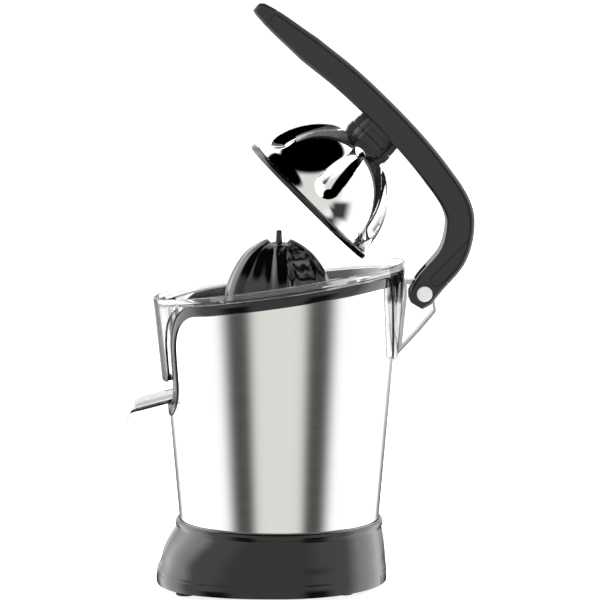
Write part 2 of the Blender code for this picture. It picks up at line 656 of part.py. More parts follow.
def bowl_section(arc, skirt):
    """The bowl's wall at one angle, as a closed list of (radius, height)."""
    angle = arc / SURFACE_RADIUS
    lean = math.cos(angle)
    under = flange(arc)
    skirt = min(skirt, under - 0.5)
    rim = RIM_HEIGHT - RIM_SLOPE * RIM_RADIUS * lean
    chimney_floor = FLOOR_HEIGHT - FLOOR_SLOPE * CHIMNEY_RADIUS * lean
    edge_floor = FLOOR_HEIGHT - FLOOR_SLOPE * 70 * lean
    inset = STEEL_WALL + GAP + TRIM_INSIDE + 2 * GAP

    def wall(z):
        return steel_radius(z) - inset

    top = under + SHOULDER
    side = [(wall(edge_floor) - BOWL_WALL - 8, edge_floor), (wall(edge_floor + 8) - BOWL_WALL, edge_floor + 8),
            (wall(top) - BOWL_WALL, top), (RIM_RADIUS - RIM_WALL, top)]
    low = APRON_BOTTOM + BOWL_WALL
    front = [(bowl_radius(low) - BOWL_WALL - 6, low), (bowl_radius(low + 6) - BOWL_WALL, low + 6),
             (bowl_radius(top - 2) - BOWL_WALL, top - 2), (bowl_radius(top) - RIM_WALL, top)]
    side_under = [(bowl_radius(under) - RIM_WALL, under), (wall(under), under),
                  (wall(edge_floor + 8), edge_floor + 8), (wall(edge_floor) - 8, edge_floor - BOWL_WALL)]
    reach = bowl_radius(APRON_BOTTOM)
    front_under = [(reach - 4, APRON_BOTTOM), (reach - 6, APRON_BOTTOM), (reach - 8, APRON_BOTTOM),
                   (reach - 10, APRON_BOTTOM)]
    share = 1 - smooth(15.0, 27.0, abs(arc))
    blended = [(mix(a[0], b[0], share), mix(a[1], b[1], share)) for a, b in zip(side, front)]
    beneath = [(mix(a[0], b[0], share), mix(a[1], b[1], share)) for a, b in zip(side_under, front_under)]
    return ([(CHIMNEY_RADIUS, CHIMNEY_TOP), (CHIMNEY_RADIUS, chimney_floor)] + blended
            + [(RIM_RADIUS - RIM_WALL, rim), (RIM_RADIUS, rim), (bowl_radius(under), under),
               (bowl_radius(skirt), skirt), (bowl_radius(skirt) - RIM_WALL, skirt)] + beneath
            + [(CHIMNEY_RADIUS - BOWL_WALL, chimney_floor - BOWL_WALL), (CHIMNEY_RADIUS - BOWL_WALL, CHIMNEY_TOP)])


def make_bowl():
    """The clear collector: dish, rim, front apron, rear skirt with the hinge bracket, drain and spout ears."""
    sections = [[polar(r, arc / SURFACE_RADIUS, z) for r, z in bowl_section(arc, skirt)]
                for arc, skirt in mirrored(skirt_path())]
    bowl = loft("juice_bowl", sections, CLEAR, around=True)
    sink = 0.9
    outline = [(RIM_RADIUS - sink, PIVOT_Z + 9.2), (PIVOT_Y + 5.0, PIVOT_Z + 9.2), (PIVOT_Y + 8.7, PIVOT_Z - 12.3),
               (PIVOT_Y - 2.7, PIVOT_Z - 26.8), (bowl_radius(164) - sink, 164.0),
               (bowl_radius(206) - sink, 206.0)]
    pin_hole = circle(PIN_SHAFT_RADIUS + 2 * RUNNING, (PIVOT_Y, PIVOT_Z))
    bracket = plate("hinge_bracket", [outline, pin_hole], 2 * BRACKET_HALF, CLEAR, SIDE_VIEW)
    ear_middle = SPOUT_HALF + 2 * GAP + EAR_THICKNESS / 2
    low, high = SPOUT_PIVOT_Z - EAR_HALF, APRON_BOTTOM + 1.0
    ear = [(SPOUT_PIVOT_Y - EAR_HALF, high), (SPOUT_PIVOT_Y - EAR_HALF, low), (SPOUT_PIVOT_Y + EAR_HALF, low),
           (SPOUT_PIVOT_Y + EAR_HALF, high)]
    hole = circle(SPOUT_PIN + GAP, (SPOUT_PIVOT_Y, SPOUT_PIVOT_Z), 20)
    ears = []
    for side in (-1, 1):
        across = Matrix.Translation((side * ear_middle * MM, 0, 0))
        ears.append(plate(f"spout_ear_{side}", [ear, hole], EAR_THICKNESS, CLEAR, across @ SIDE_VIEW))
    half, start, end = DRAIN
    drain = block("drain", (-half, start, APRON_BOTTOM - 3), (half, end, APRON_BOTTOM + 5.5), CLEAR)
    cut(bowl, drain)
    join(bowl, bracket, *ears)


def cross_rod(name, radius, half, y, z, material=ZINC, start=None, steps=28):
    """A rod along X, centred on X = 0 or from a start to an end."""
    low, high = (-half, half) if start is None else (start, half)
    profile = [(0, high), (radius, high), (radius, low), (0, low)]
    return turned(name, profile, material, False, (0, y, z), turn_y=90, steps=steps)


def make_strainer():
    """The slotted steel strainer that hangs in the bowl under its rim."""
    sections = []
    count = 36
    hub_seat = CHIMNEY_TOP + GAP
    for i in range(count):
        angle = 2 * math.pi * i / count
        edge = RIM_RADIUS - RIM_WALL - STRAINER_MARGIN
        high = flange(angle * SURFACE_RADIUS) + SHOULDER + GAP + STRAINER_LIP
        bowl_inside = steel_radius(EDGE_HEIGHT) - STEEL_WALL - TRIM_INSIDE - 3 * GAP - BOWL_WALL
        inner_edge = bowl_inside - STRAINER_CLEAR
        floor = STRAINER_FLOOR
        ring = [(STRAINER_HOLE, hub_seat + STRAINER_WALL), (20.0, hub_seat + STRAINER_WALL), (25.0, floor),
                (STRAINER_FLAT, floor), (inner_edge, high), (edge, high), (edge, high - STRAINER_LIP),
                (inner_edge, high - STRAINER_LIP), (STRAINER_FLAT, floor - STRAINER_WALL),
                (25.6, floor - STRAINER_WALL), (20.6, hub_seat), (STRAINER_HOLE, hub_seat)]
        sections.append([polar(r, angle, z) for r, z in ring])
    strainer = loft("strainer", sections, BRUSHED, around=True)
    shape = bmesh.new()
    for i in range(STRAINER_SLOTS):
        turn = Matrix.Rotation(2 * math.pi * (i + 0.5) / STRAINER_SLOTS, 4, "Z")
        middle = Matrix.Translation((sum(SLOT_REACH) / 2 * MM, 0, STRAINER_FLOOR * MM))
        size = Matrix.Diagonal(((SLOT_REACH[1] - SLOT_REACH[0]) * MM, SLOT_WIDTH * MM, 12 * MM, 1))
        bmesh.ops.create_cube(shape, size=1.0, matrix=turn @ middle @ size)
    cut(strainer, from_bmesh("strainer_slots", shape, BRUSHED))


# --------------------------------------------------------------------------- spout
def make_spout():
    """The tilting drip spout: an open trough with a lip that turns down, on two trunnions."""
    stations = [((-59.0, 144.2), (-59.0, 135.3), 0.0), ((-60.8, 143.9), (-60.8, 134.8), 1.0),
                ((-79.3, 139.7), (-78.3, 130.0), 1.0), ((-98.3, 134.5), (-97.5, 125.0), 1.0),
                ((-100.8, 132.0), (-102.3, 123.8), 1.0), ((-106.7, 118.4), (-107.6, 116.2), 1.0)]
    sections = []
    for (top_y, top_z), (low_y, low_z), open_share in stations:
        top, low = Vector((top_y, top_z)), Vector((low_y, low_z))
        depth = (top - low).length
        floor = mix(depth - 0.8, min(SPOUT_WALL, 0.6 * depth), open_share) / depth
        inside = low.lerp(top, floor)
        inner = SPOUT_HALF - SPOUT_WALL
        ring = [(-SPOUT_HALF, top), (-SPOUT_HALF, low), (SPOUT_HALF, low), (SPOUT_HALF, top),
                (inner, top), (inner, inside), (-inner, inside), (-inner, top)]
        sections.append([(x, p.x, p.y) for x, p in ring])
    spout = loft("spout", sections, CLEAR)
    reach = SPOUT_HALF + 2 * GAP + EAR_THICKNESS - 0.2
    for side in (-1, 1):
        start, end = sorted((side * (SPOUT_HALF - 1), side * reach))
        join(spout, cross_rod(f"trunnion_{side}", SPOUT_PIN, end, SPOUT_PIVOT_Y, SPOUT_PIVOT_Z, CLEAR, start, 20))


# --------------------------------------------------------------------------- cones
def cone_profile():
    """The outer cone's radius and height from its foot to its ears."""
    points = [(CONE_RADIUS, CONE_BOTTOM), (41.6, 200.0), (39.8, 209.5), (36.6, 218.5), (31.6, 227.3),
              (25.0, 235.0), (17.0, 240.6), (CONE_EAR, CONE_TIP)]
    return points


def make_cones():
    """The small reamer with its centre pin, and the large ribbed reamer that sits over it."""
    hub, bore = 8.0, SHAFT_RADIUS + 0.15
    low = CONE_BOTTOM - 10.5
    profile = [(0, PIN_TOP), (PIN_RADIUS * 0.8, PIN_TOP - 0.5), (PIN_RADIUS, PIN_TOP - 2), (PIN_RADIUS + 0.6, 241.0),
               (4.6, 239.0), (12.0, 232.0), (20.0, 220.5), (25.0, 205.0), (26.5, 193.5), (24.5, 193.5),
               (18.0, 214.0), (hub, 218.0), (hub, low), (bore, low), (bore, SHAFT_TOP + 1.0), (0, SHAFT_TOP + 1.0)]
    turned("cone_inner", profile, GLOSS_BLACK, steps=24)

    points = cone_profile()
    count = CONE_RIBS * 6
    sections = []
    for i in range(count):
        angle = 2 * math.pi * i / count
        crest = abs(math.cos(CONE_RIBS * (angle - QUARTER_TURN) / 2))
        outer = []
        for radius, z in points:
            share = smooth(CONE_BOTTOM, CONE_BOTTOM + 14, z) * (1 - 0.5 * smooth(CONE_TIP - 8, CONE_TIP, z))
            outer.append((radius - RIB_DEPTH * share * (1 - crest), z))
        inner = [(radius - CONE_WALL - RIB_DEPTH, z - 2.6) for radius, z in points[1:-1]]
        foot = (CONE_RADIUS - CONE_WALL - 1.0, CONE_BOTTOM)
        crown = [(CONE_EAR - 2.2, CONE_TIP - 0.8), (5.6, CONE_TIP - 3.0), (5.6, CONE_TIP - 5.4)]
        ring = outer + crown + list(reversed(inner)) + [foot]
        sections.append([polar(r, angle, z) for r, z in ring])
    loft("cone_outer", sections, GLOSS_BLACK, around=True)


# --------------------------------------------------------------------------- lever
def spline(points, share):
    """A point on the smooth curve through a list of points, by its share of the way."""
    last = len(points) - 1
    at = min(share * last, last - 1e-9)
    i = int(at)
    t = at - i
    p0, p1, p2, p3 = (Vector(points[max(0, min(last, k))]) for k in (i - 1, i, i + 1, i + 2))
    return 0.5 * (2 * p1 + (p2 - p0) * t + (2 * p0 - 5 * p1 + 4 * p2 - p3) * t * t
                  + (3 * p1 - p0 - 3 * p2 + p3) * t ** 3)


def lever_station(share):
    """The lever's outer and inner edge points and the inward direction at a share of its length."""
    at = spline(LEVER_SPINE, share)
    along = (spline(LEVER_SPINE, min(1, share + 0.01)) - spline(LEVER_SPINE, max(0, share - 0.01))).normalized()
    inward = Vector((along.y, -along.x))
    depth = table(LEVER_DEPTH, share)
    return at - inward * depth, at + inward * depth, inward


def bar_section(top, low, half):
    """A plain lever section between two edge points."""
    return [(-half, *top), (-half, *low), (half, *low), (half, *top)]


def shares(start, end, step=0.04):
    """Even stations from a start to an end."""
    count = max(1, round((end - start) / step))
    return [mix(start, end, i / count) for i in range(count + 1)]


def make_lever():
    """The lever: a channel with a thin top cover, a tip cap, the hinge fork, its pin and two pin caps."""
    sections = []
    half = LEVER_HALF
    inner = half - LEVER_WALL
    stations = [(s, COVER_THICKNESS + GAP) for s in shares(TIP_END, COVER_END)]
    stations += [(s, 0.0) for s in shares(COVER_END + 0.003, 1.0)]
    for share, covered in stations:
        outer_edge, inner_edge, inward = lever_station(share)
        top = outer_edge + inward * covered
        room = (inner_edge - top).length
        depth = max(0.5, (room - LEVER_WALL)) * (1 - smooth(CAVITY_END - 0.04, CAVITY_END, share))
        depth *= smooth(TIP_END, TIP_END + 0.03, share)
        floor = top + inward * max(0.4, depth)
        sections.append([(-half, *top), (-half, *inner_edge), (half, *inner_edge), (half, *top),
                         (inner, *top), (inner, *floor), (-inner, *floor), (-inner, *top)])
    shell = loft("lever_shell", sections, SATIN_BLACK)
    fork_half = BRACKET_HALF + FORK_CLEARANCE
    cut(shell, cross_rod("fork_slot", FORK_RADIUS, fork_half, PIVOT_Y, PIVOT_Z, steps=40),
        cross_rod("lever_pin_bore", PIN_SHAFT_RADIUS + GAP, 30, PIVOT_Y, PIVOT_Z))
    hole = turned("neck_screw_hole", [(0, NECK_END + 12), (2.6, NECK_END + 12), (2.6, NECK_END - 3),
                                      (0, NECK_END - 3)], ZINC, False, (0, DOME_Y, DOME_Z), DOME_TILT, steps=16)
    cut(shell, hole)

    cover = []
    for share in shares(TIP_END, COVER_END):
        outer_edge, _, inward = lever_station(share)
        cover.append(bar_section(outer_edge, outer_edge + inward * COVER_THICKNESS, half))
    loft("lever_top_cover", cover, SATIN_BLACK)
    cap = []
    for share, squeeze in ((0.0, 2.2), (0.012, 0.4), (TIP_END - 0.003, 0.0)):
        outer_edge, inner_edge, inward = lever_station(share)
        cap.append(bar_section(outer_edge + inward * squeeze, inner_edge, half - squeeze))
    loft("lever_tip_cap", cap, SATIN_BLACK)
    cross_rod("hinge_pin", PIN_SHAFT_RADIUS, half, PIVOT_Y, PIVOT_Z)
    for name, side in (("pin_cap_left", -1), ("pin_cap_right", 1)):
        start, end = sorted((side * (half + GAP), side * (half + GAP + CAP_HEIGHT)))
        cross_rod(name, CAP_RADIUS, end, PIVOT_Y, PIVOT_Z, GREY, start)


# --------------------------------------------------------------------------- press dome and neck
def dome_radius(height):
    """Outer radius of the press dome at a height above its mouth."""
    ball = math.sqrt(max(0.0, DOME_RADIUS ** 2 - (height - DOME_RISE) ** 2))
    return mix(DOME_MOUTH, ball, smooth(0, 10, height))


def neck_section(height, across, count=8):
    """An octagon across the dome's axis."""
    radius = across / math.cos(math.pi / count)
    turns = [2 * math.pi * (i + 0.5) / count for i in range(count)]
    return [(radius * math.cos(a), radius * math.sin(a), height) for a in turns]


def on_dome_axis(obj):
    """Stand an object modelled about Z on the dome's tilted axis."""
    obj.location = Vector((0, DOME_Y, DOME_Z)) * MM
    obj.rotation_euler = (math.radians(DOME_TILT), 0, 0)
    return obj


def make_dome():
    """The fluted press dome with its rim ring and twist ring, and the collar that holds it to the lever."""
    heights = [2.6, 8.0, 17.0, 27.0, 37.0, 46.0, 52.5, 55.8]
    count = FLUTES * 6
    sections = []
    for i in range(count):
        angle = 2 * math.pi * i / count
        wave = max(0.0, math.cos(FLUTES * (angle - QUARTER_TURN))) ** 1.5
        outer, inner = [], []
        for height in heights:
            dip = FLUTE_DEPTH * wave * smooth(5, 20, height) * (1 - smooth(38, 54, height))
            radius = dome_radius(height) - dip
            outer.append((radius, height))
            inner.append((radius - DOME_WALL, height - DOME_WALL * height / 60))
        inner[-1] = (BOSS_RADIUS - 2.0, inner[-1][1])
        outer[-1] = (BOSS_RADIUS - 2.0 + 3, outer[-1][1])
        ring = outer + [(BOSS_RADIUS - 2.0, heights[-1] + 0.9)] + list(reversed(inner))
        sections.append([polar(r, angle, z) for r, z in ring])
    on_dome_axis(loft("press_dome", sections, CHROME, around=True))
    inside = DOME_MOUTH - DOME_WALL - 1.0
    ring = [(RING_RADIUS - 0.6, RING_HALF), (RING_RADIUS, RING_HALF - 0.7), (RING_RADIUS, 0.7 - RING_HALF),
            (RING_RADIUS - 0.8, -RING_HALF), (inside, -RING_HALF), (inside, RING_HALF)]
    turned("dome_rim_ring", ring, GLOSS_BLACK, True, (0, DOME_Y, DOME_Z), DOME_TILT, steps=40)

    across = NECK_ACROSS
    shell = [neck_section(NECK_START, across - 1.5), neck_section(NECK_START + 1.2, across),
             neck_section(NECK_SEAM - GAP, across)]
    twist = on_dome_axis(loft("twist_ring", shell, SATIN_BLACK))
    join(twist, turned("dome_boss", [(0, NECK_END - 4), (BOSS_RADIUS, NECK_END - 4), (BOSS_RADIUS, NECK_START + 1),
                                     (0, NECK_START + 1)], SATIN_BLACK, False, (0, DOME_Y, DOME_Z), DOME_TILT,
                       steps=24))
    collar = on_dome_axis(loft("neck_collar", [neck_section(NECK_SEAM, across), neck_section(NECK_END, across)],
                               SATIN_BLACK))
    bore = [(0, NECK_END - 3.6), (BOSS_RADIUS + GAP, NECK_END - 3.6), (BOSS_RADIUS + GAP, NECK_SEAM - 2),
            (0, NECK_SEAM - 2)]
    cut(collar, turned("boss_bore", bore, SATIN_BLACK, False, (0, DOME_Y, DOME_Z), DOME_TILT, steps=24))
    screw_hole = [(0, NECK_END + 2), (2.4, NECK_END + 2), (2.4, NECK_END - 5), (0, NECK_END - 5)]
    cut(collar, turned("collar_screw_hole", screw_hole, ZINC, False, (0, DOME_Y, DOME_Z), DOME_TILT, steps=16))
    head = NECK_END + LEVER_WALL + 2.2
    screw = [(0, head + 2.5), (4.2, head + 2.5), (4.2, head), (2.1, head), (2.1, NECK_END - 3), (0, NECK_END - 3)]
    turned("neck_screw", screw, ZINC, False, (0, DOME_Y, DOME_Z), DOME_TILT, steps=20)


make_base()
make_housing()
make_gears()
make_motor()
make_deck()
make_spindle()
make_bowl()
make_strainer()
make_spout()
make_cones()
make_lever()
make_dome()
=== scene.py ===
import math

import bmesh
import bpy
from mathutils import Matrix, Vector


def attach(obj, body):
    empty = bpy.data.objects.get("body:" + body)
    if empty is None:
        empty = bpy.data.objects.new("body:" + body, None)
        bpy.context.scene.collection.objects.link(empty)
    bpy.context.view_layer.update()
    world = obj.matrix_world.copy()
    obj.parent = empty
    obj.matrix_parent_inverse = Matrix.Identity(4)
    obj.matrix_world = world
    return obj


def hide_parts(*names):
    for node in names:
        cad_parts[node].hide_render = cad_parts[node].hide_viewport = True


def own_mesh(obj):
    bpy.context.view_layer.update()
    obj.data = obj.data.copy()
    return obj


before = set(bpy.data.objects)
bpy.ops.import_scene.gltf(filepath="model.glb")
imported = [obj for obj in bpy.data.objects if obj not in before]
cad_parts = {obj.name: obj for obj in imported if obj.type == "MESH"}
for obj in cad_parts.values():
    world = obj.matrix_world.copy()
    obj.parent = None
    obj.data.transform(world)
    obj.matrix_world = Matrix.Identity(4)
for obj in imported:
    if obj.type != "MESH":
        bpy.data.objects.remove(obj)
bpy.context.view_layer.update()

# Lengths are in millimetres, turned into metres where a mesh or a node takes them, and angles are in degrees.
# Z is up from the worktop, the spout looks along -Y and the lever hinge is at +Y.
MM = 0.001

# ------------------------------------------------------------------ studio
# A white tent with a dark ceiling and a light grey panel at the camera. Low down it has a dark flag either side of
# the camera and a dark strip at the back. The steel and the gloss plastic get their bands from it. The floor is a
# lit white table, so no horizon shows.
CAMERA_PLACE = (1.8006, 0.0147, 0.3655)
CAMERA_AIM = (0.0, 0.0147, 0.2016)
LENS = 155.0
SENSOR = 36.0
TENT_STRENGTH = 1.15
TABLE_GLOW, TABLE_SIZE = 0.8, 6.0
BRIGHTEST = 4                                    # a ramp stops at 1, so the strips' light is held as a share of this
SIDE_STRIPS = [(0, 1.0), (78, 1.0), (96, 2.6), (132, 2.6), (150, 1.0), (180, 1.0)]
CEILING_TOWARDS = (0.2, -0.05, 0.98)
CEILING_EDGE = (0.70, 0.80)                      # cosines where the dark ceiling starts and is full
LOW_RING = [(0, "#d9d9d6"), (21, "#d9d9d6"), (34, "#3b3b3a"), (46, "#3b3b3a"), (66, "#ffffff"),
            (138, "#ffffff"), (162, "#4a4a4a"), (180, "#303030")]
EYE_RING = [(0, "#d5d5d0"), (30, "#d9d9d6"), (50, "#ffffff"), (180, "#ffffff")]
RINGS_MEET = (-0.20, -0.055)                     # heights on the unit sphere between the two rings
SOFTBOX_PLACE, SOFTBOX_SIZE, SOFTBOX_POWER = (0.2, -0.1, 1.8), 1.6, 9.0


def colour(code):
    """A linear RGBA colour from an sRGB hex code."""
    parts = [int(code[i:i + 2], 16) / 255 for i in (1, 3, 5)]
    return (*[c / 12.92 if c <= 0.04045 else ((c + 0.055) / 1.055) ** 2.4 for c in parts], 1.0)


def add(tree, kind, inputs=None, **settings):
    """Add a node with its settings. An input takes a value, or another node's output to link."""
    node = tree.nodes.new(kind)
    for name, value in settings.items():
        setattr(node, name, value)
    for name, value in (inputs or {}).items():
        if isinstance(value, bpy.types.NodeSocket):
            tree.links.new(value, node.inputs[name])
        else:
            node.inputs[name].default_value = value
    return node


def ring_ramp(tree, share, stops, blend="EASE"):
    """A colour ramp over the turn away from the camera side, from (degrees, RGBA) stops."""
    ramp = add(tree, "ShaderNodeValToRGB", {"Fac": share})
    ramp.color_ramp.interpolation = blend
    marks = ramp.color_ramp.elements
    while len(marks) < len(stops):
        marks.new(0.5)
    for mark, (degrees, tone) in zip(marks, stops):
        mark.position = degrees / 180
        mark.color = tone
    return ramp.outputs["Color"]


def material_of(name, **sockets):
    """A named material, its node tree and its shader, with the shader's own values set."""
    material = bpy.data.materials.new(name)
    material.use_nodes = True
    shader = material.node_tree.nodes["Principled BSDF"]
    for socket, value in sockets.items():
        shader.inputs[socket.replace("_", " ")].default_value = value
    return material, material.node_tree, shader


scene = bpy.context.scene
scene.view_settings.view_transform = "Standard"
camera = bpy.data.objects.new("camera", bpy.data.cameras.new("camera"))
scene.collection.objects.link(camera)
camera.location = CAMERA_PLACE
camera.rotation_euler = (Vector(CAMERA_AIM) - Vector(CAMERA_PLACE)).to_track_quat("-Z", "Y").to_euler()
camera.data.lens = LENS
camera.data.sensor_width = SENSOR
scene.camera = camera

tent = bpy.data.worlds.new("tent")
scene.world = tent
tent.use_nodes = True
sky = tent.node_tree
sky.nodes.clear()
towards = add(sky, "ShaderNodeTexCoord").outputs["Generated"]
ceiling = add(sky, "ShaderNodeVectorMath", {0: towards, 1: CEILING_TOWARDS}, operation="DOT_PRODUCT")
ceiling = add(sky, "ShaderNodeMapRange", {"Value": ceiling.outputs["Value"], "From Min": CEILING_EDGE[0],
                                          "From Max": CEILING_EDGE[1]}, interpolation_type="SMOOTHSTEP")
axes = add(sky, "ShaderNodeSeparateXYZ", {0: towards})
turn = add(sky, "ShaderNodeMath", {0: axes.outputs["Y"], 1: axes.outputs["X"]}, operation="ARCTAN2")
turn = add(sky, "ShaderNodeMath", {0: turn.outputs[0]}, operation="ABSOLUTE")
turn = add(sky, "ShaderNodeMath", {0: turn.outputs[0], 1: math.pi}, operation="DIVIDE").outputs[0]
above = add(sky, "ShaderNodeMapRange", {"Value": axes.outputs["Z"], "From Min": RINGS_MEET[0],
                                        "From Max": RINGS_MEET[1]}, interpolation_type="SMOOTHSTEP")
low_ring, eye_ring = (ring_ramp(sky, turn, [(at, colour(code)) for at, code in ring])
                      for ring in (LOW_RING, EYE_RING))
walls = add(sky, "ShaderNodeMixRGB", {"Fac": above.outputs["Result"], "Color1": low_ring, "Color2": eye_ring})
room = add(sky, "ShaderNodeMixRGB", {"Fac": ceiling.outputs["Result"], "Color1": walls.outputs[0],
                                     "Color2": colour("#000000")})

# a tall strip light stands beyond each side
shares = [(at, (light / BRIGHTEST,) * 3 + (1.0,)) for at, light in SIDE_STRIPS]
glow = ring_ramp(sky, turn, shares, "LINEAR")
strength = add(sky, "ShaderNodeMath", {0: glow, 1: BRIGHTEST * TENT_STRENGTH}, operation="MULTIPLY")
room = add(sky, "ShaderNodeVectorMath", {0: room.outputs[0], "Scale": strength.outputs[0]}, operation="SCALE")
lit = add(sky, "ShaderNodeBackground", {"Color": room.outputs[0], "Strength": 1.0})
add(sky, "ShaderNodeOutputWorld", {"Surface": lit.outputs[0]})

overhead = bpy.data.lights.new("overhead_softbox", "AREA")
overhead.shape = "SQUARE"
overhead.size = SOFTBOX_SIZE
overhead.energy = SOFTBOX_POWER
softbox = bpy.data.objects.new("overhead_softbox", overhead)
scene.collection.objects.link(softbox)
softbox.location = SOFTBOX_PLACE
softbox.visible_glossy = False

# matt white studio paper, lit from below, with a faint mottle of its fibres
PAPER, tree, shader = material_of("white_studio_paper", Roughness=0.9, Specular_IOR_Level=0.0,
                                  Emission_Color=colour("#ffffff"), Emission_Strength=TABLE_GLOW)
fibre = add(tree, "ShaderNodeTexNoise", {"Scale": 300.0, "Detail": 3.0})
tone = add(tree, "ShaderNodeMapRange", {"Value": fibre.outputs["Fac"], "To Min": 0.93, "To Max": 0.97})
tree.links.new(tone.outputs["Result"], shader.inputs["Base Color"])
sweep = bmesh.new()
bmesh.ops.create_grid(sweep, x_segments=8, y_segments=8, size=TABLE_SIZE)
sheet = bpy.data.meshes.new("floor")
sweep.to_mesh(sheet)
sweep.free()
floor = bpy.data.objects.new("floor", sheet)
scene.collection.objects.link(floor)
floor.data.materials.append(PAPER)
floor.visible_glossy = False

# ------------------------------------------------------------------ base
# The base is one gloss black ABS moulding: a flared skirt, deeper at the front, over a plain lower band.
# A rounded lip holds the steel, and a notch at the back lets the mains lead out.
BASE_FRONT, BASE_REAR, BASE_SIDE = 86.4, 75.7, 75.0
BASE_POWERS = (2.5, 2.0)
BASE_TOP = 72.0
BASE_WALL = 2.6
SKIRT_CURVE = [(13.6, 0.955), (19.5, 0.765), (26.0, 0.66), (33.0, 0.44), (38.0, 0.23), (42.4, 0.03)]
BAND = [(4.5, 0.965), (4.7, 0.985), (5.6, 1.0), (8.5, 1.0), (11.9, 0.975), (12.2, 0.955), (12.8, 0.955)]
LIP_TOP, SHELF_TOP, SHELF_INNER = 48.4, 45.2, 64.5
CORD_NOTCH = (8.0, 6.0)                          # width and height of the way out for the lead
LATCH_SLIT = ((24.8, 68.0, 0), (26.2, 76.0, 10.6))
BASE_STEPS, SKIRT_STEPS = 160, 18
WELD = 0.0005                                    # points this near are one
SHARP = 35.0                                     # an edge that bends more than this stays crisp


def polar(radius, angle, height):
    """A point from its radius, its angle from the front towards +X in radians, and its height."""
    return (radius * math.sin(angle), -radius * math.cos(angle), height)


def mix(a, b, share):
    """Blend two numbers."""
    return a + (b - a) * share


def smooth(low, high, x):
    """Rise from 0 to 1 between two values."""
    share = min(1.0, max(0.0, (x - low) / (high - low)))
    return share * share * (3 - 2 * share)


def spline(points, share):
    """A point on the smooth curve through a list of points, by its share of the way."""
    last = len(points) - 1
    at = min(share * last, last - 1e-9)
    i = int(at)
    t = at - i
    p0, p1, p2, p3 = (Vector(points[max(0, min(last, k))]) for k in (i - 1, i, i + 1, i + 2))
    return 0.5 * (2 * p1 + (p2 - p0) * t + (2 * p0 - 5 * p1 + 4 * p2 - p3) * t * t
                  + (3 * p1 - p0 - 3 * p2 + p3) * t ** 3)


def solid(name, shape, material, sharp=SHARP):
    """Make an object of a closed bmesh in millimetres, with its faces pointing out and its corners kept crisp."""
    bmesh.ops.remove_doubles(shape, verts=shape.verts, dist=WELD)
    bmesh.ops.recalc_face_normals(shape, faces=shape.faces)
    bmesh.ops.transform(shape, matrix=Matrix.Diagonal((MM, MM, MM, 1)), verts=shape.verts)
    mesh = bpy.data.meshes.new(name)
    shape.to_mesh(mesh)
    shape.free()
    mesh.materials.append(material)
    mesh.shade_smooth()
    mesh.set_sharp_from_angle(angle=math.radians(sharp))
    obj = bpy.data.objects.new(name, mesh)
    scene.collection.objects.link(obj)
    return obj


def loft(name, sections, material, around=False, sharp=SHARP, place=None):
    """Skin closed sections of equal length, capped at both ends or joined round into a ring."""
    shape = bmesh.new()
    rows = [[shape.verts.new(point) for point in section] for section in sections]
    count = len(sections[0])
    for near, far in list(zip(rows, rows[1:])) + ([(rows[-1], rows[0])] if around else []):
        for i in range(count):
            j = (i + 1) % count
            shape.faces.new((near[i], near[j], far[j], far[i]))
    if not around:
        shape.faces.new(rows[0])
        shape.faces.new(list(reversed(rows[-1])))
    if place:
        bmesh.ops.transform(shape, matrix=place, verts=shape.verts)
    return solid(name, shape, material, sharp)


def box_shape(name, low, high, material):
    """A plain block between two corners, for cutting with."""
    x0, y0, z0 = low
    x1, y1, z1 = high
    foot = [(x0, y0), (x1, y0), (x1, y1), (x0, y1)]
    return loft(name, [[(x, y, z0) for x, y in foot], [(x, y, z1) for x, y in foot]], material)


def plain(obj):
    """Turn an object's modifiers into a plain mesh."""
    bpy.context.view_layer.update()
    mesh = bpy.data.meshes.new_from_object(obj.evaluated_get(bpy.context.evaluated_depsgraph_get()))
    obj.modifiers.clear()
    obj.data = mesh
    mesh.set_sharp_from_angle(angle=math.radians(SHARP))
    return obj


def combine(obj, operation, *others):
    """Cut other objects from one, or join them to it, and drop them."""
    for other in others:
        step = obj.modifiers.new(operation.lower(), "BOOLEAN")
        step.operation = operation
        step.solver = "EXACT"
        step.object = other
    plain(obj)
    for other in others:
        bpy.data.objects.remove(other)
    return obj


def noise_on(tree, scale, detail=2.0, stretch=(1.0, 1.0, 1.0), roughness=0.5):
    """Noise in the object's own space. The scale is in features per metre."""
    place = add(tree, "ShaderNodeTexCoord").outputs["Object"]
    place = add(tree, "ShaderNodeMapping", {"Vector": place, "Scale": stretch}).outputs["Vector"]
    return add(tree, "ShaderNodeTexNoise", {"Vector": place, "Scale": scale, "Detail": detail,
                                            "Roughness": roughness}).outputs["Fac"]


def vary(tree, value, low, high, target):
    """Spread a 0 to 1 pattern between two values of a shader's input."""
    spread = add(tree, "ShaderNodeMapRange", {"Value": value, "From Min": 0.3, "From Max": 0.7, "To Min": low,
                                              "To Max": high})
    tree.links.new(spread.outputs["Result"], target)


def relief(tree, height, depth, shader):
    """Bump from a pattern, its depth in millimetres."""
    bump = add(tree, "ShaderNodeBump", {"Height": height, "Strength": 1.0, "Distance": depth * MM})
    tree.links.new(bump.outputs["Normal"], shader.inputs["Normal"])


# gloss black ABS from a polished mould: nearly a mirror, with the faint waves of a moulded skin and a trace of haze
GLOSS_BLACK, tree, shader = material_of("gloss_black_abs", Base_Color=colour("#08080a"), IOR=1.53)
vary(tree, noise_on(tree, 35.0, 3.0), 0.055, 0.12, shader.inputs["Roughness"])
relief(tree, noise_on(tree, 45.0, 1.0), 0.02, shader)


def base_radius(angle, share):
    """Outer radius of the base at an angle; share goes from 0 under the lip to 1 at the lower band."""
    s, c = abs(math.sin(angle)), math.cos(angle)
    reach, power = (BASE_FRONT, BASE_POWERS[0]) if c > 0 else (BASE_REAR, BASE_POWERS[1])
    plan = ((s / BASE_SIDE) ** power + (abs(c) / reach) ** power) ** (-1 / power)
    return mix(BASE_TOP, plan, share)


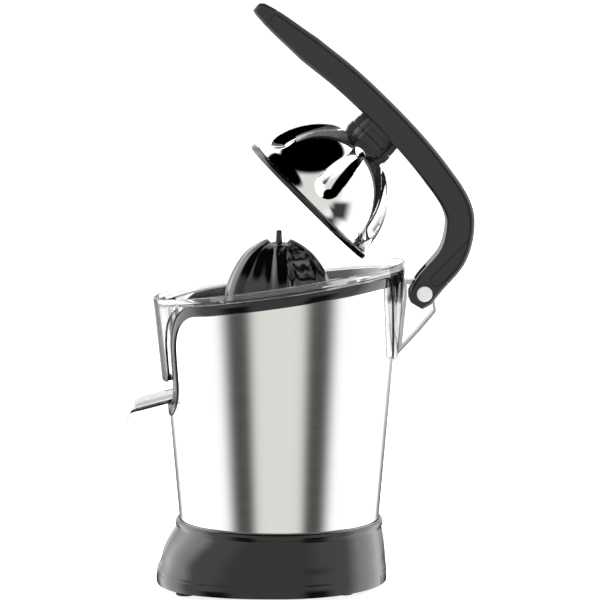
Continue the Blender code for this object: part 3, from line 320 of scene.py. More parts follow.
skirt = [tuple(spline(SKIRT_CURVE, i / SKIRT_STEPS)) for i in range(SKIRT_STEPS + 1)]
lip = [(BASE_TOP + 0.15, 42.9), (BASE_TOP + 0.2, 43.5), (BASE_TOP + 0.75, 43.9), (BASE_TOP + 0.95, 44.7),
       (BASE_TOP + 0.95, 46.4), (BASE_TOP + 0.7, 47.5), (BASE_TOP + 0.2, 48.1), (BASE_TOP - 0.5, LIP_TOP),
       (BASE_TOP - 1.3, LIP_TOP), (BASE_TOP - 1.5, LIP_TOP - 0.4), (BASE_TOP - 1.5, SHELF_TOP),
       (SHELF_INNER, SHELF_TOP), (SHELF_INNER, SHELF_TOP - BASE_WALL), (BASE_TOP - BASE_WALL, SHELF_TOP - BASE_WALL)]
rings = []
for i in range(BASE_STEPS):
    angle = 2 * math.pi * i / BASE_STEPS
    outer = [(base_radius(angle, share), z) for z, share in BAND + skirt]
    inner = [(base_radius(angle, share) - BASE_WALL, z) for z, share in [BAND[0]] + skirt[::3]]
    rings.append([polar(r, angle, z) for r, z in outer + lip + list(reversed(inner))])
base = loft("base_shell_finish", rings, GLOSS_BLACK, around=True, sharp=28.0)
wide, tall = CORD_NOTCH
notch = box_shape("cord_notch_cut", (-wide / 2, 60, 0), (wide / 2, 90, BAND[0][0] + tall), GLOSS_BLACK)
slit = box_shape("latch_slit_cut", *LATCH_SLIT, GLOSS_BLACK)
combine(base, "DIFFERENCE", notch, slit)
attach(base, "root")
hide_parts("base_shell")

# ------------------------------------------------------------------ feet
# Four soft rubber pads with a rounded edge and three anti-slip rings are pressed into the base.
FOOT_RADIUS, FOOT_HEIGHT = 6.5, 4.2
FOOT_PLACES = [(37.5, -64.7, 0), (-37.5, -64.7, 0), (34.5, 45.1, 0), (-34.5, 45.1, 0)]

# natural rubber, moulded: dull black with a fine dusty grain of about half a millimetre
RUBBER, tree, shader = material_of("moulded_rubber", Base_Color=colour("#1b1b1b"), Roughness=0.82)
relief(tree, noise_on(tree, 1800.0, 3.0), 0.05, shader)
vary(tree, noise_on(tree, 150.0), 0.74, 0.88, shader.inputs["Roughness"])


def turned(name, profile, material, steps=96, place=None, sharp=SHARP):
    """Turn a closed list of (radius, height) points round Z. A point on the axis closes the shape there."""
    rings = [[polar(r, 2 * math.pi * i / steps, z) for r, z in profile] for i in range(steps)]
    return loft(name, rings, material, around=True, place=place, sharp=sharp)


def repeated(name, item, places, material):
    """Geometry Nodes that stand one item at each place and make one plain mesh of them."""
    spots = bpy.data.meshes.new(name)
    spots.from_pydata([Vector(p) * MM for p in places], [], [])
    holder = bpy.data.objects.new(name, spots)
    scene.collection.objects.link(holder)
    tree = bpy.data.node_groups.new(name, "GeometryNodeTree")
    for label, kind in (("Places", "Geometry"), ("Item", "Object"), ("Finish", "Material")):
        tree.interface.new_socket(label, in_out="INPUT", socket_type="NodeSocket" + kind)
    tree.interface.new_socket("Pieces", in_out="OUTPUT", socket_type="NodeSocketGeometry")
    given = add(tree, "NodeGroupInput").outputs
    item_mesh = add(tree, "GeometryNodeObjectInfo", {"Object": given["Item"]}).outputs["Geometry"]
    points = add(tree, "GeometryNodeMeshToPoints", {"Mesh": given["Places"]}).outputs["Points"]
    stood = add(tree, "GeometryNodeInstanceOnPoints", {"Points": points, "Instance": item_mesh}).outputs["Instances"]
    real = add(tree, "GeometryNodeRealizeInstances", {"Geometry": stood}).outputs["Geometry"]
    done = add(tree, "GeometryNodeSetMaterial", {"Geometry": real, "Material": given["Finish"]}).outputs["Geometry"]
    add(tree, "NodeGroupOutput", {"Pieces": done})
    step = holder.modifiers.new(name, "NODES")
    step.node_group = tree
    sockets = {s.name: s.identifier for s in tree.interface.items_tree if s.in_out == "INPUT"}
    step[sockets["Item"]] = item
    step[sockets["Finish"]] = material
    plain(holder)
    bpy.data.objects.remove(item)
    return holder


r, h = FOOT_RADIUS, FOOT_HEIGHT
foot_profile = [(0, 0.5), (1.2, 0.5), (1.4, 0), (2.4, 0), (2.6, 0.4), (3.4, 0.4), (3.6, 0), (4.6, 0), (4.8, 0.4),
                (5.4, 0.4), (5.6, 0), (r - 0.5, 0.1), (r - 0.1, 0.5), (r, 1.0), (r, h - 0.6), (r - 0.4, h), (0, h)]
foot = turned("foot_item", foot_profile, RUBBER, steps=48)
feet = repeated("rubber_feet", foot, FOOT_PLACES, RUBBER)
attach(feet, "root")
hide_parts("foot_1", "foot_2", "foot_3", "foot_4")

# ------------------------------------------------------------------ tie screws
# Four long zinc-plated screws come up through the bottom plate and pull the base, the gearbox and the deck together.
TIE_RADIUS, TIE_CIRCLE, TIE_LOW, TIE_HIGH = 2.5, 61.2, 4.8, 117.7
THREAD_PITCH, THREAD_LENGTH, THREAD_DEPTH = 1.1, 9.0, 0.45

# bright zinc plate on steel: a greyish satin metal with slightly cloudy patches
ZINC, tree, shader = material_of("bright_zinc_plate", Base_Color=colour("#b9bcc0"), Metallic=1.0)
vary(tree, noise_on(tree, 220.0, 3.0), 0.25, 0.42, shader.inputs["Roughness"])
relief(tree, noise_on(tree, 900.0), 0.02, shader)

r = TIE_RADIUS
screw_profile = [(0, TIE_LOW + 1.2), (1.2, TIE_LOW + 1.0), (1.4, TIE_LOW), (r - 0.3, TIE_LOW), (r, TIE_LOW + 0.4),
                 (r, TIE_LOW + 2.0), (r - THREAD_DEPTH, TIE_LOW + 2.2)]
turns_of_thread = int(THREAD_LENGTH / THREAD_PITCH)
start = TIE_HIGH - turns_of_thread * THREAD_PITCH
screw_profile += [(r - THREAD_DEPTH, start)]
for i in range(turns_of_thread):
    z = start + i * THREAD_PITCH
    screw_profile += [(r - 0.02, z + 0.45 * THREAD_PITCH), (r - 0.5, z + THREAD_PITCH)]
screw_profile += [(0, TIE_HIGH)]
screw = turned("tie_screw_item", screw_profile, ZINC, steps=24)
tie_places = [(TIE_CIRCLE * math.cos(a), TIE_CIRCLE * math.sin(a), 0)
              for a in (math.radians(45 + 90 * i) for i in range(4))]
ties = repeated("tie_screws", screw, tie_places, ZINC)
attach(ties, "root")
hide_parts("tie_screw_1", "tie_screw_2", "tie_screw_3", "tie_screw_4")

# ------------------------------------------------------------------ steel housing
# The body is a tapered tube of stainless sheet, brushed round and buffed. Its top is tilted, and the front has a
# U notch for the collector's apron.
STEEL_FOOT, STEEL_TAPER, STEEL_WALL = 70.05, 0.0885, 1.0
SURFACE = 80.0                                   # turns an arc length on the tube into an angle
HALF_TURN = math.pi * SURFACE
EDGE_HEIGHT, EDGE_SLOPE = 208.8, 0.1414
NOTCH_BOTTOM, NOTCH_HALF, NOTCH_CORNER, NOTCH_FLARE, NOTCH_LEAN = 127.5, 34.0, 20.0, 34.0, 2.0
FLARE_END = 78.0
FINE, ROUND = 4.0, 3.0                           # spacing of points along the edge and on its corners
STEEL_FOOT_GAP, STEEL_LEVELS = 0.3, 6

# stainless sheet, brushed round the tube and then buffed: lines too fine to see are drawn a millimetre apart, and
# the grain stretches every reflection up and down
BRUSHED, tree, shader = material_of("brushed_stainless", Base_Color=colour("#f2f2f0"), Metallic=1.0, Anisotropic=0.55)
grain = noise_on(tree, 900.0, 2.0, (0.02, 0.02, 1.0))
vary(tree, grain, 0.15, 0.17, shader.inputs["Roughness"])
relief(tree, grain, 0.0004, shader)
tangent = add(tree, "ShaderNodeTangent", direction_type="RADIAL", axis="Z")
tree.links.new(tangent.outputs["Tangent"], shader.inputs["Tangent"])


def steel_radius(z):
    """Outer radius of the tapered housing."""
    return STEEL_FOOT + (z - LIP_TOP) * STEEL_TAPER


def sloping(height, slope, arc):
    """Height of a tilted plane over a point of the housing's top edge."""
    return height - slope * steel_radius(height) * math.cos(arc / SURFACE)


def rounded(corners, step):
    """A path through (x, y, radius) corners, with each corner rounded by an arc."""
    path = [Vector(corners[0][:2])]
    for before, here, after in zip(corners, corners[1:], corners[2:]):
        at = Vector(here[:2])
        to_last = (Vector(before[:2]) - at).normalized()
        to_next = (Vector(after[:2]) - at).normalized()
        half = to_last.angle(to_next) / 2
        reach = here[2] / math.tan(half)
        centre = at + (to_last + to_next).normalized() * here[2] / math.sin(half)
        start = at + to_last * reach - centre
        sweep = math.pi - 2 * half
        side = 1 if start.x * to_next.y - start.y * to_next.x > 0 else -1
        count = max(4, round(sweep * here[2] / step))
        for i in range(count + 1):
            turn = side * sweep * i / count
            path.append(centre + Vector((start.x * math.cos(turn) - start.y * math.sin(turn),
                                         start.x * math.sin(turn) + start.y * math.cos(turn))))
    path.append(Vector(corners[-1][:2]))
    return path


def spread(path, step):
    """Add points along the long stretches of a path."""
    out = [path[0]]
    for a, b in zip(path, path[1:]):
        count = max(1, math.ceil((b - a).length / step))
        out += [a.lerp(b, (i + 1) / count) for i in range(count)]
    return out


def mirrored(path):
    """Carry a half path, given as (arc length, height), round the whole tube."""
    return [Vector((-p.x, p.y)) for p in reversed(path[1:-1])] + path


flare_arc = NOTCH_HALF + NOTCH_LEAN
corners = [(0.0, NOTCH_BOTTOM, 0), (NOTCH_HALF, NOTCH_BOTTOM, NOTCH_CORNER),
           (flare_arc, sloping(EDGE_HEIGHT, EDGE_SLOPE, flare_arc), NOTCH_FLARE),
           (FLARE_END, sloping(EDGE_HEIGHT, EDGE_SLOPE, FLARE_END), 0)]
half_edge = spread(rounded(corners, ROUND), FINE)
count = math.ceil((HALF_TURN - FLARE_END) / FINE)
for i in range(count):
    arc = mix(FLARE_END, HALF_TURN, (i + 1) / count)
    half_edge.append(Vector((arc, sloping(EDGE_HEIGHT, EDGE_SLOPE, arc))))
edge = mirrored(half_edge)
rings = []
for arc, top in edge:
    levels = [mix(SHELF_TOP + STEEL_FOOT_GAP, top, i / STEEL_LEVELS) for i in range(STEEL_LEVELS + 1)]
    outer = [(steel_radius(z), z) for z in levels]
    inner = [(steel_radius(z) - STEEL_WALL, z) for z in reversed(levels)]
    rings.append([polar(r, arc / SURFACE, z) for r, z in outer + inner])
housing = loft("steel_housing_finish", rings, BRUSHED, around=True)
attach(housing, "root")
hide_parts("steel_housing")

# ------------------------------------------------------------------ edge trim
# A gloss black channel is pushed over the cut edge of the steel. Its outer leg is a flat band with eased corners.
TRIM_OVER, TRIM_DOWN, TRIM_PROUD, TRIM_LEG, TRIM_INSIDE = 2.0, 5.5, 1.0, 4.0, 1.5
CLOSE = 0.3                                      # the gap that neighbours keep
leg = -STEEL_WALL - CLOSE                        # outer face of the channel's inner leg
leg_back = leg - TRIM_INSIDE
trim_section = [(-TRIM_OVER, 0.3), (-TRIM_OVER + 0.25, 0.75), (-TRIM_OVER + 0.8, TRIM_PROUD),
                (TRIM_DOWN - 0.6, TRIM_PROUD), (TRIM_DOWN - 0.15, 0.8), (TRIM_DOWN, CLOSE), (-CLOSE, CLOSE),
                (-CLOSE, leg), (TRIM_LEG, leg), (TRIM_LEG, leg_back + 0.3), (TRIM_LEG - 0.4, leg_back),
                (-TRIM_OVER + 0.8, leg_back), (-TRIM_OVER + 0.2, leg_back + 0.3), (-TRIM_OVER, leg_back + 0.8)]
rings = []
for i, at in enumerate(edge):
    before, after = edge[i - 1].copy(), edge[(i + 1) % len(edge)].copy()
    before.x -= 2 * HALF_TURN if i == 0 else 0
    after.x += 2 * HALF_TURN if i == len(edge) - 1 else 0
    along = (after - before).normalized()
    down = Vector((along.y, -along.x))
    ring = []
    for away, proud in trim_section:
        arc, z = at + down * away
        ring.append(polar(steel_radius(z) + proud, arc / SURFACE, z))
    rings.append(ring)
trim = loft("edge_trim_finish", rings, GLOSS_BLACK, around=True, sharp=50.0)
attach(trim, "root")
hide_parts("edge_trim")

# ------------------------------------------------------------------ inside the body
# The motor, the gearbox and the switch are bought-in or moulded parts that stand on the bottom plate. They keep
# their frame shapes and get the finishes that such parts have, as the hinge pin and the neck screw do.

# black ABS with a spark-eroded grain of about a millimetre: the sheen of a satin moulding
SATIN_BLACK, tree, shader = material_of("grained_black_abs", Base_Color=colour("#161618"), IOR=1.53)
vary(tree, noise_on(tree, 300.0, 3.0), 0.30, 0.40, shader.inputs["Roughness"])
relief(tree, noise_on(tree, 1100.0, 2.0), 0.012, shader)

# grey acetal and ABS fittings: matt, a little mottled
GREY, tree, shader = material_of("moulded_grey_plastic", Base_Color=colour("#8f9092"), Roughness=0.45)
vary(tree, noise_on(tree, 120.0, 3.0), 0.4, 0.52, shader.inputs["Roughness"])
relief(tree, noise_on(tree, 1500.0), 0.02, shader)

# natural nylon gears: waxy off-white that lets light in a little
NYLON, tree, shader = material_of("natural_nylon", Base_Color=colour("#e9e4d6"), Roughness=0.42,
                                  Subsurface_Weight=0.1)
vary(tree, noise_on(tree, 200.0, 2.0), 0.36, 0.5, shader.inputs["Roughness"])

# sintered bronze bushes: fine open pores filled with oil
BRONZE, tree, shader = material_of("sintered_bronze", Base_Color=colour("#b58a4c"), Metallic=1.0)
pores = noise_on(tree, 2500.0, 3.0)
vary(tree, pores, 0.3, 0.55, shader.inputs["Roughness"])
relief(tree, pores, 0.03, shader)

INSIDE = [(SATIN_BLACK, ["bottom_plate", "motor_deck", "gearbox_tub", "gearbox_lid"]),
          (GREY, ["switch_holder", "switch_body", "thrust_pad", "cooling_fan"]),
          (NYLON, ["output_gear", "idler_gear"]),
          (BRONZE, ["lower_bush", "upper_bush"]),
          (ZINC, ["motor_can", "motor_rotor", "drive_shaft", "idler_pin", "hinge_pin", "neck_screw"]),
          (RUBBER, ["shaft_seal", "switch_plunger", "cord_gland"])]
for finish, names in INSIDE:
    for name in names:
        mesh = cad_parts[name].data
        mesh.materials.clear()
        mesh.materials.append(finish)

# ------------------------------------------------------------------ return spring
# A wire spring lifts the thrust pad. In the real press it closes up by 2 mm as the reamer is pressed and the switch
# works; here it is built at one length only.
SPRING_LOW, SPRING_LENGTH, SPRING_RADIUS, WIRE_RADIUS, SPRING_TURNS = 44.9, 22.0, 6.0, 0.6, 5
SPRING_STEPS, WIRE_STEPS, SPRING_KEEP = 32, 10, 0.9
round_wire = [2 * math.pi * k / WIRE_STEPS for k in range(WIRE_STEPS)]
count = SPRING_TURNS * SPRING_STEPS
rings = []
for i in range(count + 1):
    angle = 2 * math.pi * i / SPRING_STEPS + math.pi / 2
    middle = SPRING_LOW + WIRE_RADIUS + (SPRING_LENGTH - 2 * WIRE_RADIUS) * i / count
    rings.append([polar(SPRING_RADIUS + WIRE_RADIUS * math.cos(t), angle, middle + WIRE_RADIUS * math.sin(t))
                  for t in round_wire])
spring = loft("return_spring_finish", rings, ZINC)
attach(spring, "root")
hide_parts("return_spring")
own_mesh(spring)

# ------------------------------------------------------------------ collector
# The collector is one clear moulding: a dish with a chimney round the drive, a tilted rim, an apron that fills the
# notch, a skirt down the back with the hollow hinge bracket, and two ears that hold the spout.
RIM_RADIUS, RIM_HEIGHT, RIM_SLOPE = 88.25, 216.8, 0.1455
RIM_WALL, BOWL_WALL, SHOULDER = 1.5, 2.0, 1.5
APRON_RADIUS, APRON_BOTTOM, APRON_TAPER, APRON_HALF, APRON_CORNER = 82.0, 146.6, 0.107, 30.5, 8.0
SKIRT_BOTTOM, SKIRT_FOOT, SKIRT_TOP = 162.0, 25.0, 42.0
DISH_FLOOR, DISH_SLOPE, DISH_EDGE = 153.0, 0.054, 70.0
CHIMNEY_RADIUS, CHIMNEY_TOP = 16.2, 184.0
FLANGE_GAP = 0.6
BRACKET_HALF, BRACKET_WALL, BRACKET_SINK, HOLLOW_SHARE = 7.5, 1.4, 0.9, 0.82
PIVOT = (101.0, 207.3)
PIN_RADIUS, PIN_PLAY, PIN_BOSS = 3.0, 0.12, 2.0
DRAIN_HALF, DRAIN_FRONT, DRAIN_BACK = 11.0, -75.0, -64.0
SPOUT_PIVOT = (-66.0, 140.6)
EAR_THICK, EAR_HALF, SPOUT_HALF, SPOUT_PIN = 2.6, 4.6, 15.0, 2.2
SMOKE = 125.0                                    # how fast the wall darkens along its length


def clear_plastic(name, smoke):
    """Clear SAN, polished on both sides: faint face on, smoky grey where a wall is seen along its length."""
    material, tree, shader = material_of(name, Base_Color=colour("#ffffff"), Roughness=0.012, IOR=1.5,
                                         Transmission_Weight=1.0)
    body = add(tree, "ShaderNodeVolumeAbsorption", {"Color": colour("#808080"), "Density": smoke})
    tree.links.new(body.outputs["Volume"], tree.nodes["Material Output"].inputs["Volume"])
    relief(tree, noise_on(tree, 60.0, 1.0), 0.006, shader)
    return material


CLEAR = clear_plastic("clear_san", SMOKE)


def bowl_radius(z):
    """Outer radius of the apron, the rim and the rear skirt."""
    return min(RIM_RADIUS, APRON_RADIUS + (z - APRON_BOTTOM) * APRON_TAPER)


def flange(arc):
    """Underside of the flange, just above the trim."""
    return sloping(EDGE_HEIGHT + TRIM_OVER + FLANGE_GAP, EDGE_SLOPE, arc)


def bowl_section(arc, skirt):
    """The collector's wall at one angle, as a closed list of (radius, height)."""
    lean = math.cos(arc / SURFACE)
    under = flange(arc)
    skirt = min(skirt, under - 0.5)
    rim = RIM_HEIGHT - RIM_SLOPE * RIM_RADIUS * lean
    chimney_floor = DISH_FLOOR - DISH_SLOPE * CHIMNEY_RADIUS * lean
    floor = DISH_FLOOR - DISH_SLOPE * DISH_EDGE * lean
    inset = STEEL_WALL + CLOSE + TRIM_INSIDE + 2 * CLOSE

    def wall(z):
        return steel_radius(z) - inset

    top = under + SHOULDER
    side = [(wall(floor) - BOWL_WALL - 8, floor), (wall(floor + 2) - BOWL_WALL - 3.4, floor + 1.6),
            (wall(floor + 4) - BOWL_WALL - 0.8, floor + 4.4), (wall(floor + 8) - BOWL_WALL, floor + 8),
            (wall(top) - BOWL_WALL, top), (RIM_RADIUS - RIM_WALL, top)]
    low = APRON_BOTTOM + BOWL_WALL
    front = [(bowl_radius(low) - BOWL_WALL - 6, low), (bowl_radius(low) - BOWL_WALL - 2.6, low + 1.2),
             (bowl_radius(low) - BOWL_WALL - 0.4, low + 3.4), (bowl_radius(low + 6) - BOWL_WALL, low + 6),
             (bowl_radius(top - 2) - BOWL_WALL, top - 2), (bowl_radius(top) - RIM_WALL, top)]
    side_under = [(bowl_radius(under) - RIM_WALL, under), (wall(under), under), (wall(floor + 8), floor + 8),
                  (wall(floor) - 8, floor - BOWL_WALL)]
    reach = bowl_radius(APRON_BOTTOM)
    front_under = [(reach - 4 - 2 * i, APRON_BOTTOM) for i in range(4)]
    share = 1 - smooth(15.0, 27.0, abs(arc))
    facing = [(mix(a[0], b[0], share), mix(a[1], b[1], share)) for a, b in zip(side, front)]
    beneath = [(mix(a[0], b[0], share), mix(a[1], b[1], share)) for a, b in zip(side_under, front_under)]
    foot = [(bowl_radius(skirt), skirt + 0.35), (bowl_radius(skirt) - 0.35, skirt),
            (bowl_radius(skirt) - RIM_WALL + 0.35, skirt), (bowl_radius(skirt) - RIM_WALL, skirt + 0.35)]
    chimney = [(CHIMNEY_RADIUS, CHIMNEY_TOP), (CHIMNEY_RADIUS, chimney_floor + 2.5),
               (CHIMNEY_RADIUS + 2.5, chimney_floor)]
    rim_line = [(RIM_RADIUS - RIM_WALL, rim - 0.5), (RIM_RADIUS - RIM_WALL + 0.4, rim), (RIM_RADIUS - 0.4, rim),
                (RIM_RADIUS, rim - 0.5), (bowl_radius(under), under)]
    bore = [(CHIMNEY_RADIUS - BOWL_WALL, chimney_floor - BOWL_WALL), (CHIMNEY_RADIUS - BOWL_WALL, CHIMNEY_TOP)]
    return chimney + facing + rim_line + foot + beneath + bore


def side_plate(name, outline, x_low, x_high, material, holes=()):
    """A plate across X with a (Y, Z) outline and round holes, each (y, z, radius)."""
    x_low, x_high = sorted((x_low, x_high))
    made = loft(name, [[(x, y, z) for y, z in outline] for x in (x_low, x_high)], material)
    drills = [cross_rod("drill", radius, x_low - 2, x_high + 2, y, z, material) for y, z, radius in holes]
    return combine(made, "DIFFERENCE", *drills) if drills else made


def cross_rod(name, radius, x_low, x_high, y, z, material, ease=0.0, steps=64):
    """A rod along X, with eased ends where it has them."""
    if ease:
        side = [(radius - ease, x_low), (radius, x_low + ease), (radius, x_high - ease), (radius - ease, x_high)]
    else:
        side = [(radius, x_low), (radius, x_high)]
    place = Matrix.Translation((0, y, z)) @ Matrix.Rotation(math.pi / 2, 4, "Y")
    return turned(name, [(0, x_low), *side, (0, x_high)], material, steps=steps, place=place)


flare_arc = APRON_HALF + NOTCH_LEAN + 0.5
corners = [(0.0, APRON_BOTTOM, 0), (APRON_HALF, APRON_BOTTOM, APRON_CORNER),
           (flare_arc, flange(flare_arc), NOTCH_FLARE + 3), (FLARE_END, flange(FLARE_END), 0)]
skirt_edge = spread(rounded(corners, ROUND), FINE)
rear_start = HALF_TURN - SKIRT_TOP - 6
count = math.ceil((rear_start - FLARE_END) / FINE)
skirt_edge += [Vector((arc, flange(arc))) for arc in (mix(FLARE_END, rear_start, i / count) for i in range(1, count))]
rear = [(rear_start, flange(rear_start), 0), (HALF_TURN - SKIRT_TOP, flange(HALF_TURN - SKIRT_TOP), 3),
        (HALF_TURN - SKIRT_FOOT, SKIRT_BOTTOM, 6), (HALF_TURN, SKIRT_BOTTOM, 0)]
skirt_edge += spread(rounded(rear, ROUND), FINE)
rings = [[polar(r, arc / SURFACE, z) for r, z in bowl_section(arc, skirt)] for arc, skirt in mirrored(skirt_edge)]
collector = loft("juice_bowl_finish", rings, CLEAR, around=True)
y, z = PIVOT
outline = [(RIM_RADIUS - BRACKET_SINK, z + 9.2), (y + 4.4, z + 9.2), (y + 5.2, z + 8.4), (y + 8.7, z - 12.0),
           (y + 8.3, z - 13.6), (y - 2.7, z - 26.8), (bowl_radius(164) - BRACKET_SINK, 164.0),
           (bowl_radius(206) - BRACKET_SINK, 206.0)]
bracket = side_plate("bracket", outline, -BRACKET_HALF, BRACKET_HALF, CLEAR, [(y, z, PIN_RADIUS + PIN_PLAY)])
centre = sum((Vector(p) for p in outline), Vector((0, 0))) / len(outline)
hollow = [centre + (Vector(p) - centre) * HOLLOW_SHARE for p in outline]
room = BRACKET_HALF - BRACKET_WALL
combine(bracket, "DIFFERENCE", side_plate("hollow", hollow, -room, room, CLEAR, [(y, z, PIN_RADIUS + PIN_BOSS)]))
ear_from = SPOUT_HALF + 2 * CLOSE
y, z = SPOUT_PIVOT
outline = [(y - EAR_HALF, APRON_BOTTOM + 1), (y - EAR_HALF, z - 2), (y - EAR_HALF + 2, z - EAR_HALF),
           (y + EAR_HALF - 2, z - EAR_HALF), (y + EAR_HALF, z - 2), (y + EAR_HALF, APRON_BOTTOM + 1)]
hole = (y, z, SPOUT_PIN + CLOSE)
ears = [side_plate("ear", outline, side * ear_from, side * (ear_from + EAR_THICK), CLEAR, [hole]) for side in (-1, 1)]
drain = box_shape("drain_cut", (-DRAIN_HALF, DRAIN_FRONT, APRON_BOTTOM - 3),
                  (DRAIN_HALF, DRAIN_BACK, APRON_BOTTOM + 5.5), CLEAR)
combine(collector, "DIFFERENCE", drain)
combine(collector, "UNION", bracket, *ears)
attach(collector, "collector")
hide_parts("juice_bowl")

# ------------------------------------------------------------------ strainer
# A pressed stainless dish hangs in the collector by its brim. Fine slots are punched round its flat floor.
STRAINER_FLOOR, STRAINER_FLAT, STRAINER_WALL, STRAINER_HOLE = 188.0, 60.0, 1.2, 12.0
STRAINER_MARGIN, STRAINER_BRIM, STRAINER_LIP = 1.6, 9.5, 0.9
SLOTS, SLOT_FROM, SLOT_TO, SLOT_WIDTH, PUNCH_HEIGHT = 48, 34.0, 56.0, 1.5, 12.0
STRAINER_STEPS = 144
hub_seat = CHIMNEY_TOP + CLOSE
hub_top = hub_seat + STRAINER_WALL
edge_radius = RIM_RADIUS - RIM_WALL - STRAINER_MARGIN
brim = edge_radius - STRAINER_BRIM
floor_z = STRAINER_FLOOR
upper = [(STRAINER_HOLE, hub_top), (19.0, hub_top), (21.5, hub_top + 0.6), (24.0, floor_z - 0.6), (26.5, floor_z),
         (STRAINER_FLAT - 4, floor_z), (STRAINER_FLAT + 1.0, floor_z + 1.2)]
rings = []
for i in range(STRAINER_STEPS):
    angle = 2 * math.pi * i / STRAINER_STEPS
    high = flange(angle * SURFACE) + SHOULDER + CLOSE + STRAINER_LIP
    rise = [(mix(STRAINER_FLAT + 1.0, brim, t), mix(floor_z + 1.2, high - 0.7, t)) for t in (0.33, 0.66, 0.95)]
    lip_edge = [(brim + 1.2, high - 0.1), (edge_radius - 0.4, high), (edge_radius, high - 0.4),
                (edge_radius, high - STRAINER_LIP)]
    under = [(brim + 1.4, high - STRAINER_LIP)] + [(r, z - STRAINER_WALL) for r, z in reversed(rise + upper[1:])]
    rings.append([polar(r, angle, z) for r, z in upper + rise + lip_edge + under + [(STRAINER_HOLE, hub_seat)]])
strainer = loft("strainer_finish", rings, BRUSHED, around=True)

tree = bpy.data.node_groups.new("punched_slots", "GeometryNodeTree")
for label, kind in (("Dish", "Geometry"), ("Slots", "Int"), ("From", "Float"), ("To", "Float"), ("Width", "Float"),
                    ("Height", "Float"), ("Finish", "Material")):
    tree.interface.new_socket(label, in_out="INPUT", socket_type="NodeSocket" + kind)
tree.interface.new_socket("Dish", in_out="OUTPUT", socket_type="NodeSocketGeometry")
given = add(tree, "NodeGroupInput").outputs
length = add(tree, "ShaderNodeMath", {0: given["To"], 1: given["From"]}, operation="SUBTRACT").outputs[0]
middle = add(tree, "ShaderNodeMath", {0: given["To"], 1: given["From"]}, operation="ADD").outputs[0]
middle = add(tree, "ShaderNodeMath", {0: middle, 1: 0.5}, operation="MULTIPLY").outputs[0]
number = add(tree, "GeometryNodeInputIndex").outputs[0]
turn = add(tree, "ShaderNodeMath", {0: number, 1: 2 * math.pi}, operation="MULTIPLY").outputs[0]
turn = add(tree, "ShaderNodeMath", {0: turn, 1: given["Slots"]}, operation="DIVIDE").outputs[0]
across = add(tree, "ShaderNodeMath", {0: turn}, operation="COSINE").outputs[0]
across = add(tree, "ShaderNodeMath", {0: across, 1: middle}, operation="MULTIPLY").outputs[0]
along = add(tree, "ShaderNodeMath", {0: turn}, operation="SINE").outputs[0]
along = add(tree, "ShaderNodeMath", {0: along, 1: middle}, operation="MULTIPLY").outputs[0]
spot = add(tree, "ShaderNodeCombineXYZ", {"X": across, "Y": along, "Z": given["Height"]}).outputs[0]
spots = add(tree, "GeometryNodePoints", {"Count": given["Slots"], "Position": spot}).outputs[0]
size = add(tree, "ShaderNodeCombineXYZ", {"X": length, "Y": given["Width"], "Z": PUNCH_HEIGHT * MM}).outputs[0]
punch = add(tree, "GeometryNodeMeshCube", {"Size": size}).outputs["Mesh"]
facing = add(tree, "ShaderNodeCombineXYZ", {"Z": turn}).outputs[0]
punches = add(tree, "GeometryNodeInstanceOnPoints", {"Points": spots, "Instance": punch,
                                                     "Rotation": facing}).outputs[0]
punches = add(tree, "GeometryNodeRealizeInstances", {"Geometry": punches}).outputs[0]
dish = add(tree, "GeometryNodeMeshBoolean", {"Mesh 1": given["Dish"], "Mesh 2": punches}, operation="DIFFERENCE",
           solver="EXACT").outputs["Mesh"]
dish = add(tree, "GeometryNodeSetMaterial", {"Geometry": dish, "Material": given["Finish"]}).outputs[0]
add(tree, "NodeGroupOutput", {"Dish": dish})
step = strainer.modifiers.new("punched_slots", "NODES")
step.node_group = tree
sockets = {s.name: s.identifier for s in tree.interface.items_tree if s.in_out == "INPUT"}
for label, value in (("Slots", SLOTS), ("From", SLOT_FROM * MM), ("To", SLOT_TO * MM), ("Width", SLOT_WIDTH * MM),
                     ("Height", STRAINER_FLOOR * MM), ("Finish", BRUSHED)):
    step[sockets[label]] = value
plain(strainer)
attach(strainer, "collector")
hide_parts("strainer")

